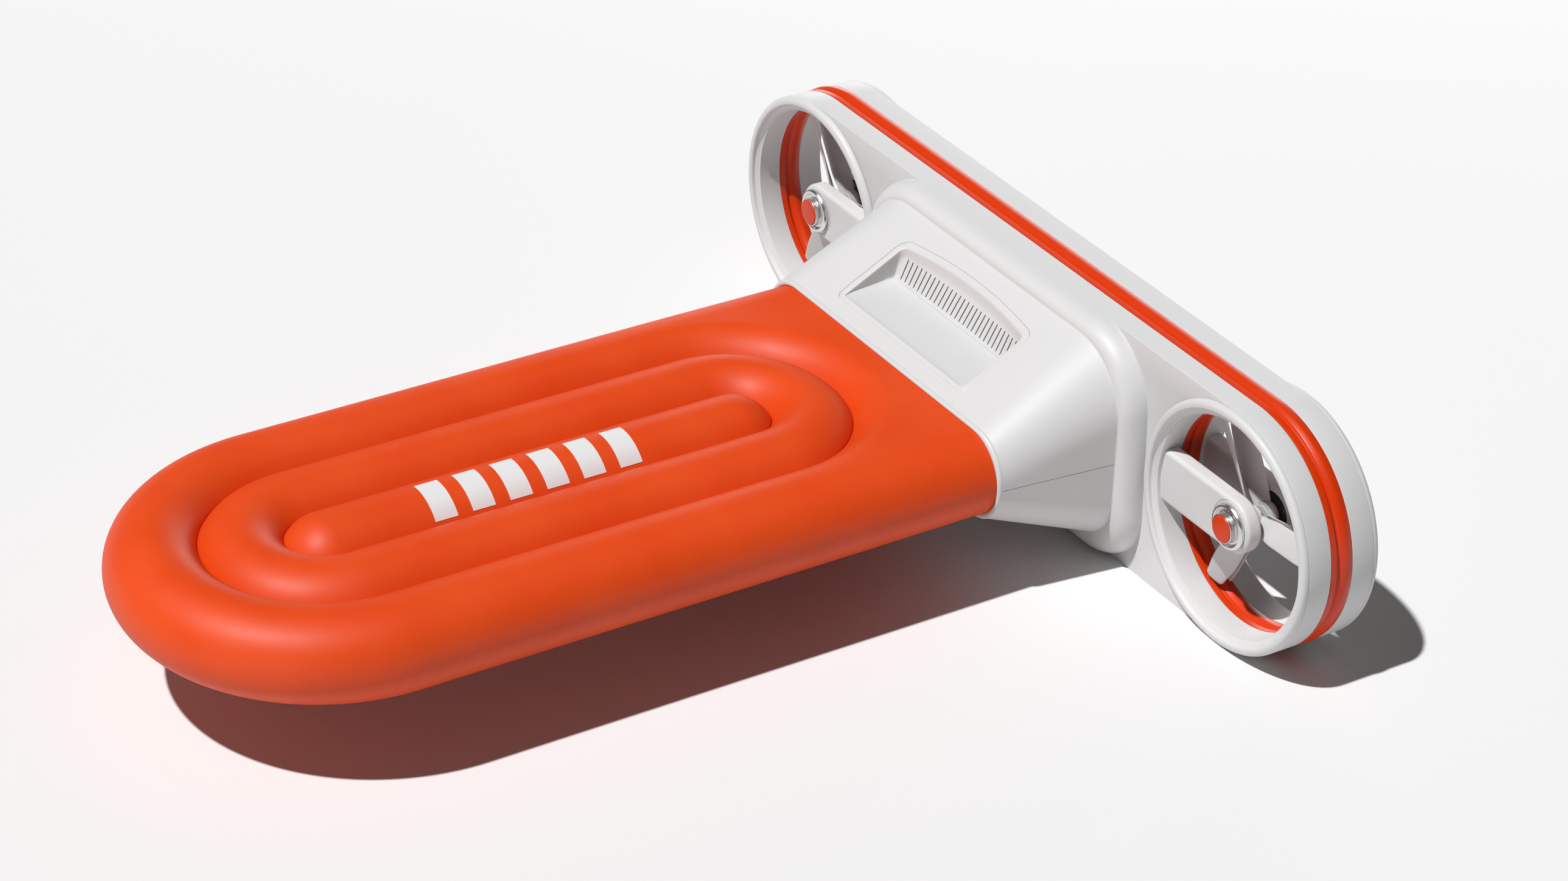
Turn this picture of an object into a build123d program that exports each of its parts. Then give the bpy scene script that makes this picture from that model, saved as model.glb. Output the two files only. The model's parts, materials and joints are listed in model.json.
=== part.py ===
from build123d import *
import os
from math import atan2, cos, degrees, hypot, radians, sin, tan

# Powered rescue float: an inflatable board pushed by two ducts, each with a pair of propellers
# that turn opposite ways. Millimetres. +Z is up, -Y is the way it travels (the bow) and +X is port.
# The origin is on the ground, in the middle of the underside of the crossbar that joins the ducts.

# ---------------------------------------------------------------- driving dimensions
# Ducts and the crossbar that joins them
duct_radius = 160.0          # outside of a duct, and half the crossbar's height
duct_offset = 466.0          # from the middle of the object to a duct's axis
bore_radius = 140.0          # inside of a duct
bar_half = 48.0              # half the crossbar's depth, fore and aft
band_half = 15.5             # half the depth of the coloured middle frame
shell_wall = 3.0
sleeve_wall = 3.0            # wall of the tube round each bore
frame_wall = 5.0             # wall of the middle frame's rings
web_thickness = 3.0          # plate inside the middle frame
groove_depth = 2.5
groove_width = 6.0
groove_centre = -3.5         # the groove lies a little forward of the middle

# Rounded lips at both mouths of each duct
lip_height = 9.0
lip_crest_radius = 153.5
lip_throat_radius = 147.5
lip_throat_height = 5.5

# Motor arms
arm_near = 21.0              # distance of the arm's inner face from the middle plane
arm_thickness = 22.0
arm_half_height = 36.0       # also the radius of its round end
arm_edge = 5.0
motor_pocket_radius = 28.0
pocket_floor = 4.0           # thickness left at the arm's outer face
boss_outer_radius = 9.0      # tube that holds the bearings and the stator
bearing_radius = 7.5
bearing_width = 5.0
shaft_radius = 4.0
running_gap = 0.05           # radial, shaft in bearing
plinth_radius = 32.0
plinth_height = 1.0

# Motor and propeller
stator_radius = 21.5
stator_length = 12.0
stator_teeth = 12
stator_slot_depth = 9.0
stator_slot_width = 3.2
bell_radius = 26.0
bell_wall = 3.8
bell_depth = 17.0
bell_clearance = 1.4         # between the bell's back and the arm's inner face
propeller_plane = 10.5       # distance of a propeller's middle from the middle plane
propeller_radius = 134.0
propeller_hub_radius = 18.0
blade_count = 3
blade_first_angle = 3.0      # degrees above +X, at rest
blade_thickness = 3.6
blade_stations = [             # distance from the axis, chord and pitch in degrees
    (12.0, 24.0, 40.0), (50.0, 34.0, 31.0), (95.0, 36.0, 23.0), (propeller_radius, 24.0, 17.0),
]
collar_radius = 30.0
collar_height = 5.5
nose_radius = 19.0
nose_height = 11.5           # from the plinth to the nose's front edge
cap_radius = 17.6
cap_height = 3.4

# Cowl between the crossbar and the float
cowl_front = -236.0
cowl_rear = -80.0
cowl_front_half_width = 266.0
cowl_front_low = 99.0
cowl_front_high = 221.0
cowl_rear_half_width = 281.0
cowl_rear_low = 33.0
cowl_rear_high = 302.0
cowl_rear_top_round = 92.0
cowl_rear_low_round = 75.0
parting_height = 160.0       # upper and lower shells meet here
rim_depth = 6.0
collar_proud = 2.0           # the crossbar's collar stands out round the cowl's end
collar_full_width = 304.0    # half its width, where it meets the crossbar
collar_margin = 4.0          # from the collar's top and bottom to the crossbar's
collar_wall = 9.0
rib_half_gap = 70.0          # two ribs carry the battery
rib_thickness = 6.0
rib_half_length = 60.0
front_round_margin = 5.0     # straight part left between the front end's rounded corners

# Cooling scoop in the cowl's roof
scoop_front = -219.0
scoop_rear = -116.0
scoop_half_width = 137.0
scoop_round = 20.0
scoop_wall = 2.5
mouth_half_width = 128.0
mouth_front = -213.0
floor_front_height = 231.5
floor_rear = -137.0
floor_rear_height = 237.0
slot_count = 27
slot_pitch = 9.35
slot_width = 2.2
slot_length = 27.0
slot_start = 4.0             # from the scoop's floor to the slots' lower ends
back_wall_lean = 24.0        # degrees from upright
fit_gap = 0.3

# Float
tube_radius = 57.0
tube_pitch = 100.0           # from one tube's axis to the next
outer_path_radius = 204.0    # from the middle to the outer tube's axis
float_half_width = 261.2     # at the stern, where it fills the cowl's rim
float_height_mid = 160.0
bow_centre = -1012.5         # centre of the rounded bow
stern_centre = -460.0        # centre of the rounded stern ends of the inner chambers
stern_half_height = 56.0
skin = 1.5
chamber_gap = 0.3
flange_thickness = 6.0

# Inflation valves, under the float
valve_body_radius = 12.0
valve_flange_radius = 16.0
valve_flange_thickness = 2.0
valve_bore_radius = 7.0
valve_depth = 16.0
valve_port_circle = 4.7      # radius of the ring of air ports
valve_port_radius = 1.2
valve_port_count = 6
plunger_radius = 6.4
plunger_stem_radius = 2.0
plunger_clip_radius = 3.2
clip_thickness = 1.2
valve_y = -560.0

# Electrics
battery_size = (250.0, 92.0, 52.0)
battery_y = -168.0
battery_low = 112.0
control_size = (150.0, 72.0, 22.0)
esc_size = (46.0, 12.0, 78.0)
esc_x = 225.0
cable_radius = 4.0
cable_bend = 30.0
cable_x = 40.0
cable_y = -30.0

# Controls on the back
button_x = -40.0
socket_x = 40.0
button_radius = 10.0
button_proud = 2.0
socket_radius = 9.0
socket_depth = 10.0
contact_length = 4.0
flap_radius = 14.0
flap_thickness = 2.6
hinge_radius = 2.4
hinge_pin_radius = 1.0

# Screws that hold the crossbar's shells together
screw_radius = 2.0
screw_head_radius = 3.8
screw_head_height = 3.0
screw_boss_radius = 6.0
screw_places = [(x, z) for x in (-290.0, -150.0, 150.0, 290.0) for z in (26.0, 294.0)]

axis_z = duct_radius
arm_far = arm_near + arm_thickness
duct_sides = {"starboard": -1, "port": 1}
duct_ends = {"front": -1, "rear": 1}


# ---------------------------------------------------------------- helpers
def slab(sketch, y_low, y_high):
    """A sketch drawn in X and Z, made solid between two depths."""
    face_plane = Plane((0, y_high, 0), x_dir=(1, 0, 0), z_dir=(0, -1, 0))
    return extrude(face_plane * sketch, y_high - y_low)


def bar_outline(inset=0.0):
    """The crossbar seen from the front: a flat-topped bar with round ends."""
    return Pos(0, axis_z) * SlotCenterToCenter(2 * duct_offset, 2 * (duct_radius - inset))


def duct_discs(radius):
    discs = [Pos(side * duct_offset, axis_z) * Circle(radius) for side in duct_sides.values()]
    return discs[0] + discs[1]


def turned(points, side, end):
    """Turn a closed outline of (radius, distance from the middle plane) about a duct's axis."""
    outline = make_face(Polyline(*[(r, end * y) for r, y in points], close=True))
    return Pos(side * duct_offset, 0, axis_z) * revolve(outline, Axis.Y)


def tube(outer, inner, y_a, y_b, side, end):
    return turned([(inner, y_a), (outer, y_a), (outer, y_b), (inner, y_b)], side, end)


def box_between(low, high):
    size = [b - a for a, b in zip(low, high)]
    middle = [(a + b) / 2 for a, b in zip(low, high)]
    return Pos(*middle) * Box(*size)


def round_frame(half_width, low, high, low_round, high_round):
    """A rectangle in X and Z with its own rounding at the top and at the bottom."""
    outline = Pos(0, (low + high) / 2) * Rectangle(2 * half_width, high - low)
    outline = fillet(outline.vertices().sort_by(Axis.Y)[-2:], high_round)
    return fillet(outline.vertices().sort_by(Axis.Y)[:2], low_round)


def placed(sketch, y):
    return Plane((0, y, 0), x_dir=(1, 0, 0), z_dir=(0, -1, 0)) * sketch


def pattern(places, sketch):
    """One sketch repeated at every place of a pattern."""
    return Sketch() + [place * sketch for place in places]


saved_names = []


def save(name, solid):
    export_step(solid, f"parts/{name}.step")
    saved_names.append(name)


# ---------------------------------------------------------------- cowl
front_round = (cowl_front_high - cowl_front_low) / 2 - front_round_margin


def cowl_section(share, inset=0.0):
    """The cowl's outline, from 0 at its front end to 1 at its rear end."""
    def between(front, rear):
        return front + (rear - front) * share

    return placed(
        round_frame(
            between(cowl_front_half_width, cowl_rear_half_width) - inset,
            between(cowl_front_low, cowl_rear_low) + inset,
            between(cowl_front_high, cowl_rear_high) - inset,
            between(front_round, cowl_rear_low_round) - inset,
            between(front_round, cowl_rear_top_round) - inset,
        ),
        between(cowl_front, cowl_rear),
    )


def cowl_body(inset=0.0, extra=0.0):
    """The cowl's outer form, or its inside when inset; extra runs it past both ends."""
    return loft([cowl_section(-extra, inset), cowl_section(1 + extra, inset)])


roof_angle = degrees(atan2(cowl_rear_high - cowl_front_high, cowl_rear - cowl_front))


def roof_height(y):
    return cowl_front_high + (y - cowl_front) * tan(radians(roof_angle))


def roof_plane(y, below=0.0):
    """A plane lying on the cowl's sloping roof."""
    normal = (0, -sin(radians(roof_angle)), cos(radians(roof_angle)))
    origin = (0, y - below * normal[1], roof_height(y) - below * normal[2])
    return Plane(origin, x_dir=(1, 0, 0), z_dir=normal)


def scoop_outline(gap=0.0):
    length = (scoop_rear - scoop_front) / cos(radians(roof_angle))
    return RectangleRounded(2 * (scoop_half_width - gap), length - 2 * gap, scoop_round - gap)


def scoop_corners():
    """The back wall's foot and its top edge, in the roof, seen from the side."""
    lean, roof_slope = tan(radians(back_wall_lean)), tan(radians(roof_angle))
    wall_height = (roof_height(floor_rear) - floor_rear_height) / (1 - roof_slope * lean)
    foot = (floor_rear, floor_rear_height)
    return foot, (floor_rear + wall_height * lean, floor_rear_height + wall_height)


def scoop_hollow(grow=0.0):
    """The hollow under the roof, carried up past it: a low floor that ends in a steep back wall."""
    foot, wall_top = scoop_corners()
    above = (2 * wall_top[0] - foot[0], 2 * wall_top[1] - foot[1])
    corners = [(mouth_front, floor_front_height), foot, above, (mouth_front, above[1])]
    side_view = Plane((0, 0, 0), x_dir=(0, 1, 0), z_dir=(1, 0, 0))
    shape = make_face(Polyline(*corners, close=True))
    if grow:
        shape = offset(shape, grow, kind=Kind.INTERSECTION)
    half = mouth_half_width + grow
    return Pos(-half, 0, 0) * extrude(side_view * shape, 2 * half)


def make_vent_insert():
    middle_y = (scoop_front + scoop_rear) / 2
    plate = extrude(roof_plane(middle_y) * scoop_outline(fit_gap), -scoop_wall)
    well = extrude(roof_plane(middle_y) * scoop_outline(fit_gap), -2 * duct_radius)
    insert = plate + (scoop_hollow(scoop_wall) & well) - scoop_hollow()
    wall_foot, wall_top = scoop_corners()
    wall_length = hypot(wall_top[0] - wall_foot[0], wall_top[1] - wall_foot[1])
    rise_y, rise_z = [(b - a) / wall_length for a, b in zip(wall_foot, wall_top)]
    middle = slot_start + slot_length / 2
    slot_middle = (0, wall_foot[0] + rise_y * middle, wall_foot[1] + rise_z * middle)
    wall_plane = Plane(slot_middle, x_dir=(1, 0, 0), z_dir=(0, -rise_z, rise_y))
    slot = SlotOverall(slot_length, slot_width, 90)
    slots = pattern(GridLocations(slot_pitch, 0, slot_count, 1), slot)
    return insert - extrude(wall_plane * slots, 2 * scoop_wall, both=True)


def make_cowl():
    skin_body = cowl_body() - cowl_body(shell_wall, 0.02)
    middle_y = (scoop_front + scoop_rear) / 2
    opening = extrude(roof_plane(middle_y) * scoop_outline(), 30, both=True)
    far = 1000
    top_half = box_between((-far, -far, parting_height), (far, far, far))
    low_half = box_between((-far, -far, -far), (far, far, parting_height))
    upper = (skin_body & top_half) - opening
    lower = skin_body & low_half
    inside = cowl_body(shell_wall - 0.5)
    for side in (-1, 1):
        rib = box_between(
            (side * rib_half_gap - rib_thickness / 2, battery_y - rib_half_length, 0),
            (side * rib_half_gap + rib_thickness / 2, battery_y + rib_half_length, battery_low),
        )
        lower += rib & inside
    return upper, lower


def float_end_outline(grow=0.0):
    radius = stern_half_height + grow
    straight = 2 * (float_half_width - stern_half_height)
    return Pos(0, float_height_mid) * SlotCenterToCenter(straight, 2 * radius)


def make_front_rim():
    outer = cowl_section(0)
    ring = extrude(outer, rim_depth)
    ring = fillet(ring.faces().sort_by(Axis.Y)[0].edges(), rim_depth * 0.7)
    return ring - slab(float_end_outline(fit_gap), cowl_front - 2 * rim_depth, cowl_front + 1)


def make_stern_flange():
    plate = slab(
        round_frame(
            cowl_front_half_width - shell_wall - 1,
            cowl_front_low + shell_wall + 1,
            cowl_front_high - shell_wall - 1,
            front_round - shell_wall - 1,
            front_round - shell_wall - 1,
        ),
        cowl_front,
        cowl_front + flange_thickness,
    )
    holes = Pos(0, float_height_mid) * pattern(GridLocations(60, 0, 7, 1), Circle(16))
    return (plate & cowl_body(shell_wall + 0.2)) - slab(holes, cowl_front - 1, cowl_front + 20)


# ---------------------------------------------------------------- crossbar
def bar_shell(end):
    """One outer shell of the crossbar: side wall, end plate and the two bore sleeves."""
    near, far = end * band_half, end * bar_half
    y_low, y_high = min(near, far), max(near, far)
    body = slab(bar_outline(), y_low, y_high)
    inner_far = far - end * shell_wall
    cavity = slab(bar_outline(shell_wall), min(near, inner_far), max(near, inner_far))
    sleeves = slab(duct_discs(bore_radius + sleeve_wall), y_low, y_high)
    shell = body - (cavity - sleeves)
    for x, z in screw_places:
        boss = Pos(x, z) * Circle(screw_boss_radius)
        start = end * web_thickness / 2
        shell += slab(boss, min(start, inner_far), max(start, inner_far))
    return shell - slab(duct_discs(bore_radius), y_low - 1, y_high + 1)


def screw_holes(radius, y_low, y_high):
    circles = [Pos(x, z) * Circle(radius) for x, z in screw_places]
    holes = circles[0]
    for circle in circles[1:]:
        holes += circle
    return slab(holes, y_low, y_high)


def collar_body(inset=0.0):
    """The rounded collar round the cowl's end, swelling out to the crossbar's face."""
    sections = []
    for along, swell in ((0.0, 0.0), (0.42, 0.72), (1.0, 1.0)):
        def between(cowl_size, bar_size):
            return cowl_size + (bar_size - cowl_size) * swell

        outline = round_frame(
            between(cowl_rear_half_width + collar_proud, collar_full_width) - inset,
            between(cowl_rear_low - collar_proud, collar_margin) + inset,
            between(cowl_rear_high + collar_proud, 2 * duct_radius - collar_margin) - inset,
            cowl_rear_low_round - inset,
            cowl_rear_top_round - inset,
        )
        sections.append(placed(outline, cowl_rear + (-bar_half - cowl_rear) * along))
    return loft(sections)


def make_front_shell():
    collar = collar_body() - collar_body(collar_wall)
    shell = bar_shell(-1) + collar
    window = Pos(0, axis_z) * RectangleRounded(360, 170, 20)
    shell -= slab(window, -bar_half - 1, -bar_half + shell_wall + 1)
    return shell - screw_holes(screw_radius, -bar_half + 8, 0)


def make_rear_shell():
    shell = bar_shell(1)
    shell -= screw_holes(screw_radius, 0, bar_half + 1)
    shell -= screw_holes(screw_head_radius, bar_half - screw_head_height - 1, bar_half + 1)
    button_seat = Pos(button_x, axis_z) * Circle(button_radius + fit_gap)
    socket_seat = Pos(socket_x, axis_z) * Circle(socket_radius)
    shell -= slab(button_seat, bar_half - 10, bar_half + 1)
    shell -= slab(socket_seat, bar_half - 10, bar_half + 1)
    for sign in (-1, 1):
        lug = box_between(
            (socket_x + sign * 9 - 2, bar_half - 0.5, hinge_z - hinge_radius),
            (socket_x + sign * 9 + 2, hinge_y + hinge_radius, hinge_z + hinge_radius),
        )
        shell += lug
    pin_hole = Pos(socket_x, hinge_y, hinge_z) * Rot(0, 90, 0) * Cylinder(hinge_pin_radius, 40)
    return shell - pin_hole


def make_middle_frame():
    rings = slab(bar_outline() - bar_outline(frame_wall), -band_half, band_half)
    sleeves = slab(duct_discs(bore_radius + frame_wall), -band_half, band_half)
    web = slab(bar_outline(1), -web_thickness / 2, web_thickness / 2)
    frame = rings + (sleeves & slab(bar_outline(1), -band_half, band_half)) + web
    frame -= slab(duct_discs(bore_radius), -band_half - 1, band_half + 1)
    groove_low = groove_centre - groove_width / 2
    groove_high = groove_centre + groove_width / 2
    frame -= slab(bar_outline(-1) - bar_outline(groove_depth), groove_low, groove_high)
    frame -= slab(duct_discs(bore_radius + groove_depth), groove_low, groove_high)
    window = Pos(0, axis_z) * RectangleRounded(300, 150, 20)
    frame -= slab(window, -band_half, band_half)
    return frame - screw_holes(screw_radius, -band_half, band_half)


def make_lip(side, end):
    """A turned ring with a domed crest and a chamfered throat."""
    seat = bar_half
    crest = seat + lip_height
    throat = seat + lip_throat_height
    with BuildSketch() as profile:
        with BuildLine():
            Line((bore_radius, seat), (duct_radius, seat))
            Bezier(
                (duct_radius, seat), (duct_radius, seat + lip_height * 0.6),
                (lip_crest_radius + 3.5, crest), (lip_crest_radius, crest),
            )
            Bezier(
                (lip_crest_radius, crest), (lip_crest_radius - 3.0, crest),
                (lip_throat_radius + 1.0, crest - 1.0), (lip_throat_radius, throat),
            )
            Line((lip_throat_radius, throat), (bore_radius, seat))
        make_face()
    ring = revolve(profile.sketch, Axis.Y)
    if end < 0:
        ring = mirror(ring, Plane.XZ)
    return Pos(side * duct_offset, 0, axis_z) * ring


# ---------------------------------------------------------------- motor arms and rotors
def make_arm(side, end):
    reach = bore_radius
    root = Pos(-side * reach / 2, 0) * Rectangle(reach, 2 * arm_half_height)
    outline = Pos(side * duct_offset, axis_z) * (root + Circle(arm_half_height))
    y_a, y_b = end * arm_near, end * arm_far
    arm = slab(outline, min(y_a, y_b), max(y_a, y_b))
    long_edges = arm.faces().sort_by(Axis.Y)[0].edges() + arm.faces().sort_by(Axis.Y)[-1].edges()
    root_x = side * (duct_offset - reach)
    arm = fillet([e for e in long_edges if abs(e.center().X - root_x) > 1], arm_edge)
    arm &= slab(Pos(side * duct_offset, axis_z) * Circle(bore_radius - 0.02), -bar_half, bar_half)
    arm += tube(plinth_radius, boss_outer_radius, arm_far - 1, arm_far + plinth_height, side, end)
    arm -= tube(motor_pocket_radius, 0, arm_near - 1, arm_far - pocket_floor, side, end)
    arm += tube(boss_outer_radius, bearing_radius, arm_near + 4, arm_far + plinth_height, side, end)
    return arm - tube(bearing_radius, 0, arm_near - 2, arm_far + 2, side, end)


def make_bearings(side, end):
    """Two ball bearings, each as its plain outer and inner size."""
    pair = []
    for start in (arm_near + 4, arm_far + plinth_height - bearing_width):
        pair.append(
            tube(bearing_radius, shaft_radius + running_gap, start, start + bearing_width, side, end)
        )
    return Compound(children=pair)


def make_stator(side, end):
    start = arm_far - pocket_floor - 2 - stator_length
    core = tube(stator_radius, boss_outer_radius, start, start + stator_length, side, end)
    notch_middle = stator_radius - stator_slot_depth / 2
    notch = Pos(notch_middle, 0) * Rectangle(stator_slot_depth, stator_slot_width)
    notches = pattern(PolarLocations(0, stator_teeth), notch)
    cut = Pos(side * duct_offset, axis_z) * notches
    depths = (end * (start - 1), end * (start + stator_length + 1))
    return core - slab(cut, min(depths), max(depths))


def bell_back():
    return arm_near - bell_clearance


def make_bell(side, end):
    back = bell_back()
    inner = bell_radius - bell_wall
    outline = [
        (shaft_radius, back), (bell_radius, back), (bell_radius, back + bell_depth),
        (inner, back + bell_depth), (inner, back + 3), (shaft_radius, back + 3),
    ]
    return turned(outline, side, end)


def make_shaft(side, end):
    return tube(shaft_radius, 0, propeller_plane - 6, nose_front() - cap_height, side, end)


def nose_front():
    return arm_far + plinth_height + nose_height


def make_collar(side, end):
    """The bright nose: a domed ring round a plain spigot that holds the end cap."""
    base = arm_far + plinth_height + 0.5
    front = nose_front()
    seat = front - cap_height / 2
    outline = [
        (shaft_radius, base), (collar_radius, base), (collar_radius, base + collar_height * 0.45),
        (collar_radius - 1.6, base + collar_height * 0.85), (collar_radius - 4.2, base + collar_height),
        (collar_radius - 6.8, base + collar_height * 0.8), (collar_radius - 8.0, base + collar_height * 0.4),
        (nose_radius, base + collar_height * 0.3), (nose_radius, front), (cap_radius, front),
        (cap_radius, seat), (shaft_radius, seat),
    ]
    return turned(outline, side, end)


def make_end_cap(side, end):
    front = nose_front()
    seat = front - cap_height / 2
    outline = [
        (0, seat), (cap_radius, seat), (cap_radius, front + cap_height / 2 - 1.2),
        (cap_radius - 0.4, front + cap_height / 2 - 0.4), (cap_radius - 1.2, front + cap_height / 2),
        (0, front + cap_height / 2),
    ]
    return turned(outline, side, end)


def make_blade(hand):
    """One twisted blade along +X, lofted through round-edged sections, each set at its own pitch."""
    sections = []
    for radius, chord, pitch in blade_stations:
        lean = radians(pitch)
        plane = Plane(origin=(radius, 0, 0), x_dir=(0, -hand * sin(lean), cos(lean)), z_dir=(1, 0, 0))
        sections.append(plane * RectangleRounded(chord, blade_thickness, 0.48 * blade_thickness))
    return loft(sections)


def make_propeller(side, end):
    plane_y = end * propeller_plane
    low, high = propeller_plane - 6, bell_back()
    hub = turned([(0, low), (propeller_hub_radius, low), (propeller_hub_radius, high), (0, high)], side, end)
    blade = make_blade(end)
    limit = slab(Pos(0, 0) * Circle(propeller_radius - 0.5), -30, 30)
    blades = None
    for index in range(blade_count):
        turn = Rot(0, -(blade_first_angle + index * 360 / blade_count), 0) * (blade & limit)
        moved = Pos(side * duct_offset, plane_y, axis_z) * turn
        blades = moved if blades is None else blades + moved
    low_stop = turned([(0, arm_near - 0.8), (200, arm_near - 0.8), (200, 40), (0, 40)], side, end)
    return (hub + blades) - low_stop - tube(shaft_radius, 0, low - 1, high + 1, side, end)


# ---------------------------------------------------------------- float
def tube_profile(centre_x, radius, low_x, high_x):
    """A tube's section in X and Z, cut straight where it presses on its neighbours."""
    section = Pos(centre_x, float_height_mid) * Circle(radius)
    middle = (low_x + high_x) / 2
    band = Pos(middle, float_height_mid) * Rectangle(high_x - low_x, 4 * tube_radius)
    return section & band


def ring_chamber(path_radius, low_cut, high_cut, inset):
    """A closed tube round both stadium ends, cut straight between two distances from the middle."""
    section = tube_profile(path_radius, tube_radius - inset, low_cut + inset, high_cut - inset)
    half_turn = revolve(Plane.XZ * section, Axis.Z, 180)
    bow = Pos(0, bow_centre, 0) * Rot(0, 0, 180) * half_turn
    stern = Pos(0, stern_centre, 0) * half_turn
    run = slab(section, bow_centre, stern_centre)
    return bow + stern + run + mirror(run, Plane.YZ)


def middle_chamber_body(inset):
    low_cut = (tube_pitch + chamber_gap) / 2
    return ring_chamber(tube_pitch, low_cut, 3 * tube_pitch / 2 - chamber_gap / 2, inset)


def outer_chamber_body(inset):
    low_cut = (3 * tube_pitch + chamber_gap) / 2
    ring = ring_chamber(outer_path_radius, low_cut, 2 * outer_path_radius, inset)
    stern = cowl_front - inset
    block = slab(float_end_outline(-inset), stern_centre, stern)
    block -= Pos(0, stern_centre, 0) * Cylinder(outer_path_radius, 4 * duct_radius)
    far = 2 * abs(bow_centre)
    return (ring + block) & box_between((-far, -far, 0), (far, stern, far))


def centre_chamber_body(inset):
    half_cut = tube_pitch / 2 - chamber_gap / 2 - inset
    radius = tube_radius - inset
    section = tube_profile(0, radius, -half_cut, half_cut)
    run = slab(section, bow_centre, stern_centre)
    half_section = tube_profile(0, radius, 0, half_cut)
    end = revolve(Plane.XZ * half_section, Axis.Z, 360)
    return run + Pos(0, bow_centre, 0) * end + Pos(0, stern_centre, 0) * end


def valve_places():
    return [(outer_path_radius, valve_y), (tube_pitch, valve_y), (0.0, valve_y)]


tube_bottom = float_height_mid - tube_radius


def valve_hole(x, y):
    return Pos(x, y, tube_bottom) * Cylinder(valve_body_radius, 20)


def make_chamber(body, valve):
    return body(0.0) - body(skin) - valve_hole(*valve)


def make_valve_body(x, y):
    flange_low = tube_bottom - valve_flange_thickness - 0.2
    flange = Pos(x, y, flange_low + valve_flange_thickness / 2) * Cylinder(
        valve_flange_radius, valve_flange_thickness
    )
    barrel_top = tube_bottom + valve_depth
    barrel = box_between(
        (x - valve_body_radius, y - valve_body_radius, flange_low),
        (x + valve_body_radius, y + valve_body_radius, barrel_top),
    ) & (Pos(x, y, tube_bottom) * Cylinder(valve_body_radius, 4 * valve_depth))
    bore_top = barrel_top - 3
    bore = box_between(
        (x - valve_bore_radius, y - valve_bore_radius, flange_low - 1),
        (x + valve_bore_radius, y + valve_bore_radius, bore_top),
    ) & (Pos(x, y, tube_bottom) * Cylinder(valve_bore_radius, 6 * valve_depth))
    stem_hole = Pos(x, y, barrel_top) * Cylinder(plunger_stem_radius + running_gap, 20)
    body = flange + barrel - bore - stem_hole
    for place in PolarLocations(valve_port_circle, valve_port_count):
        body -= Pos(x, y, barrel_top) * place * Cylinder(valve_port_radius, 20)
    return body


def make_plunger(x, y):
    head_low = tube_bottom + 1.0
    head = Pos(x, y, head_low + 1) * Cylinder(plunger_radius, 2)
    stem_length = valve_depth + 3
    stem = Pos(x, y, head_low + stem_length / 2) * Cylinder(plunger_stem_radius, stem_length)
    clip_low = tube_bottom + valve_depth + 0.2
    clip = Pos(x, y, clip_low + clip_thickness / 2) * Cylinder(plunger_clip_radius, clip_thickness)
    return head + stem + clip


# ---------------------------------------------------------------- electrics and controls
hinge_z = axis_z + flap_radius + 3.0
hinge_y = bar_half + hinge_radius + 0.6


def make_cable(side):
    start_y = battery_y + control_size[1] / 2
    height = battery_low + battery_size[2] + control_size[2] / 2
    end_x = side * (duct_offset - bore_radius - sleeve_wall)
    path = FilletPolyline(
        (side * cable_x, start_y, height), (side * cable_x, cable_y, height), (end_x, cable_y, height),
        radius=cable_bend,
    )
    run = sweep(Plane((side * cable_x, start_y, height), z_dir=(0, 1, 0)) * Circle(cable_radius), path)
    limit = slab(duct_discs(bore_radius + sleeve_wall), -bar_half, bar_half)
    return run - limit


def make_button():
    disc = Pos(button_x, axis_z) * Circle(button_radius)
    flange = Pos(button_x, axis_z) * Circle(button_radius + 2)
    inner_face = bar_half - shell_wall - 0.3
    cap = slab(disc, bar_half - 8, bar_half + button_proud)
    return cap + slab(flange, inner_face - 2, inner_face)


def make_socket():
    ring = Pos(socket_x, axis_z) * Circle(socket_radius)
    body = slab(ring, bar_half - 22, bar_half)
    recess = slab(Pos(socket_x, axis_z) * Circle(socket_radius - 2), bar_half - socket_depth, bar_half + 1)
    contacts = Pos(socket_x, axis_z) * pattern(GridLocations(6, 0, 2, 1), Circle(1.2))
    pins = slab(contacts, bar_half - socket_depth - 1, bar_half - socket_depth + contact_length)
    return body - recess + pins


def make_flap():
    """The rubber cover of the charging socket, with the knuckle it swings on."""
    disc = Pos(socket_x, axis_z) * Circle(flap_radius)
    tongue = Pos(socket_x, axis_z + flap_radius) * Rectangle(12, 2 * 3.0)
    low = bar_half + fit_gap
    cover = slab(disc + tongue, low, low + flap_thickness)
    knuckle = Pos(socket_x, hinge_y, hinge_z) * Rot(0, 90, 0) * Cylinder(hinge_radius, 13)
    hole_radius = hinge_pin_radius + running_gap
    pin_hole = Pos(socket_x, hinge_y, hinge_z) * Rot(0, 90, 0) * Cylinder(hole_radius, 20)
    return cover + knuckle - pin_hole


def make_hinge_pin():
    return Pos(socket_x, hinge_y, hinge_z) * Rot(0, 90, 0) * Cylinder(hinge_pin_radius, 22)


def make_screws():
    screws = []
    for x, z in screw_places:
        head_top = bar_half - 1
        head_low = head_top - screw_head_height
        head = slab(Pos(x, z) * Circle(screw_head_radius), head_low, head_top)
        socket = slab(Pos(x, z) * RegularPolygon(1.7, 6), head_top - 1.8, head_top + 1)
        shank = slab(Pos(x, z) * Circle(screw_radius), -bar_half + 8, head_low)
        screws.append(head + shank - socket)
    return Compound(children=screws)


def make_controllers():
    boxes = []
    for side in (-1, 1):
        for end in (-1, 1):
            y_a, y_b = end * web_thickness / 2, end * (web_thickness / 2 + esc_size[1])
            boxes.append(box_between(
                (side * esc_x - esc_size[0] / 2, min(y_a, y_b), axis_z - esc_size[2] / 2),
                (side * esc_x + esc_size[0] / 2, max(y_a, y_b), axis_z + esc_size[2] / 2),
            ))
    return Compound(children=boxes)


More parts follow.
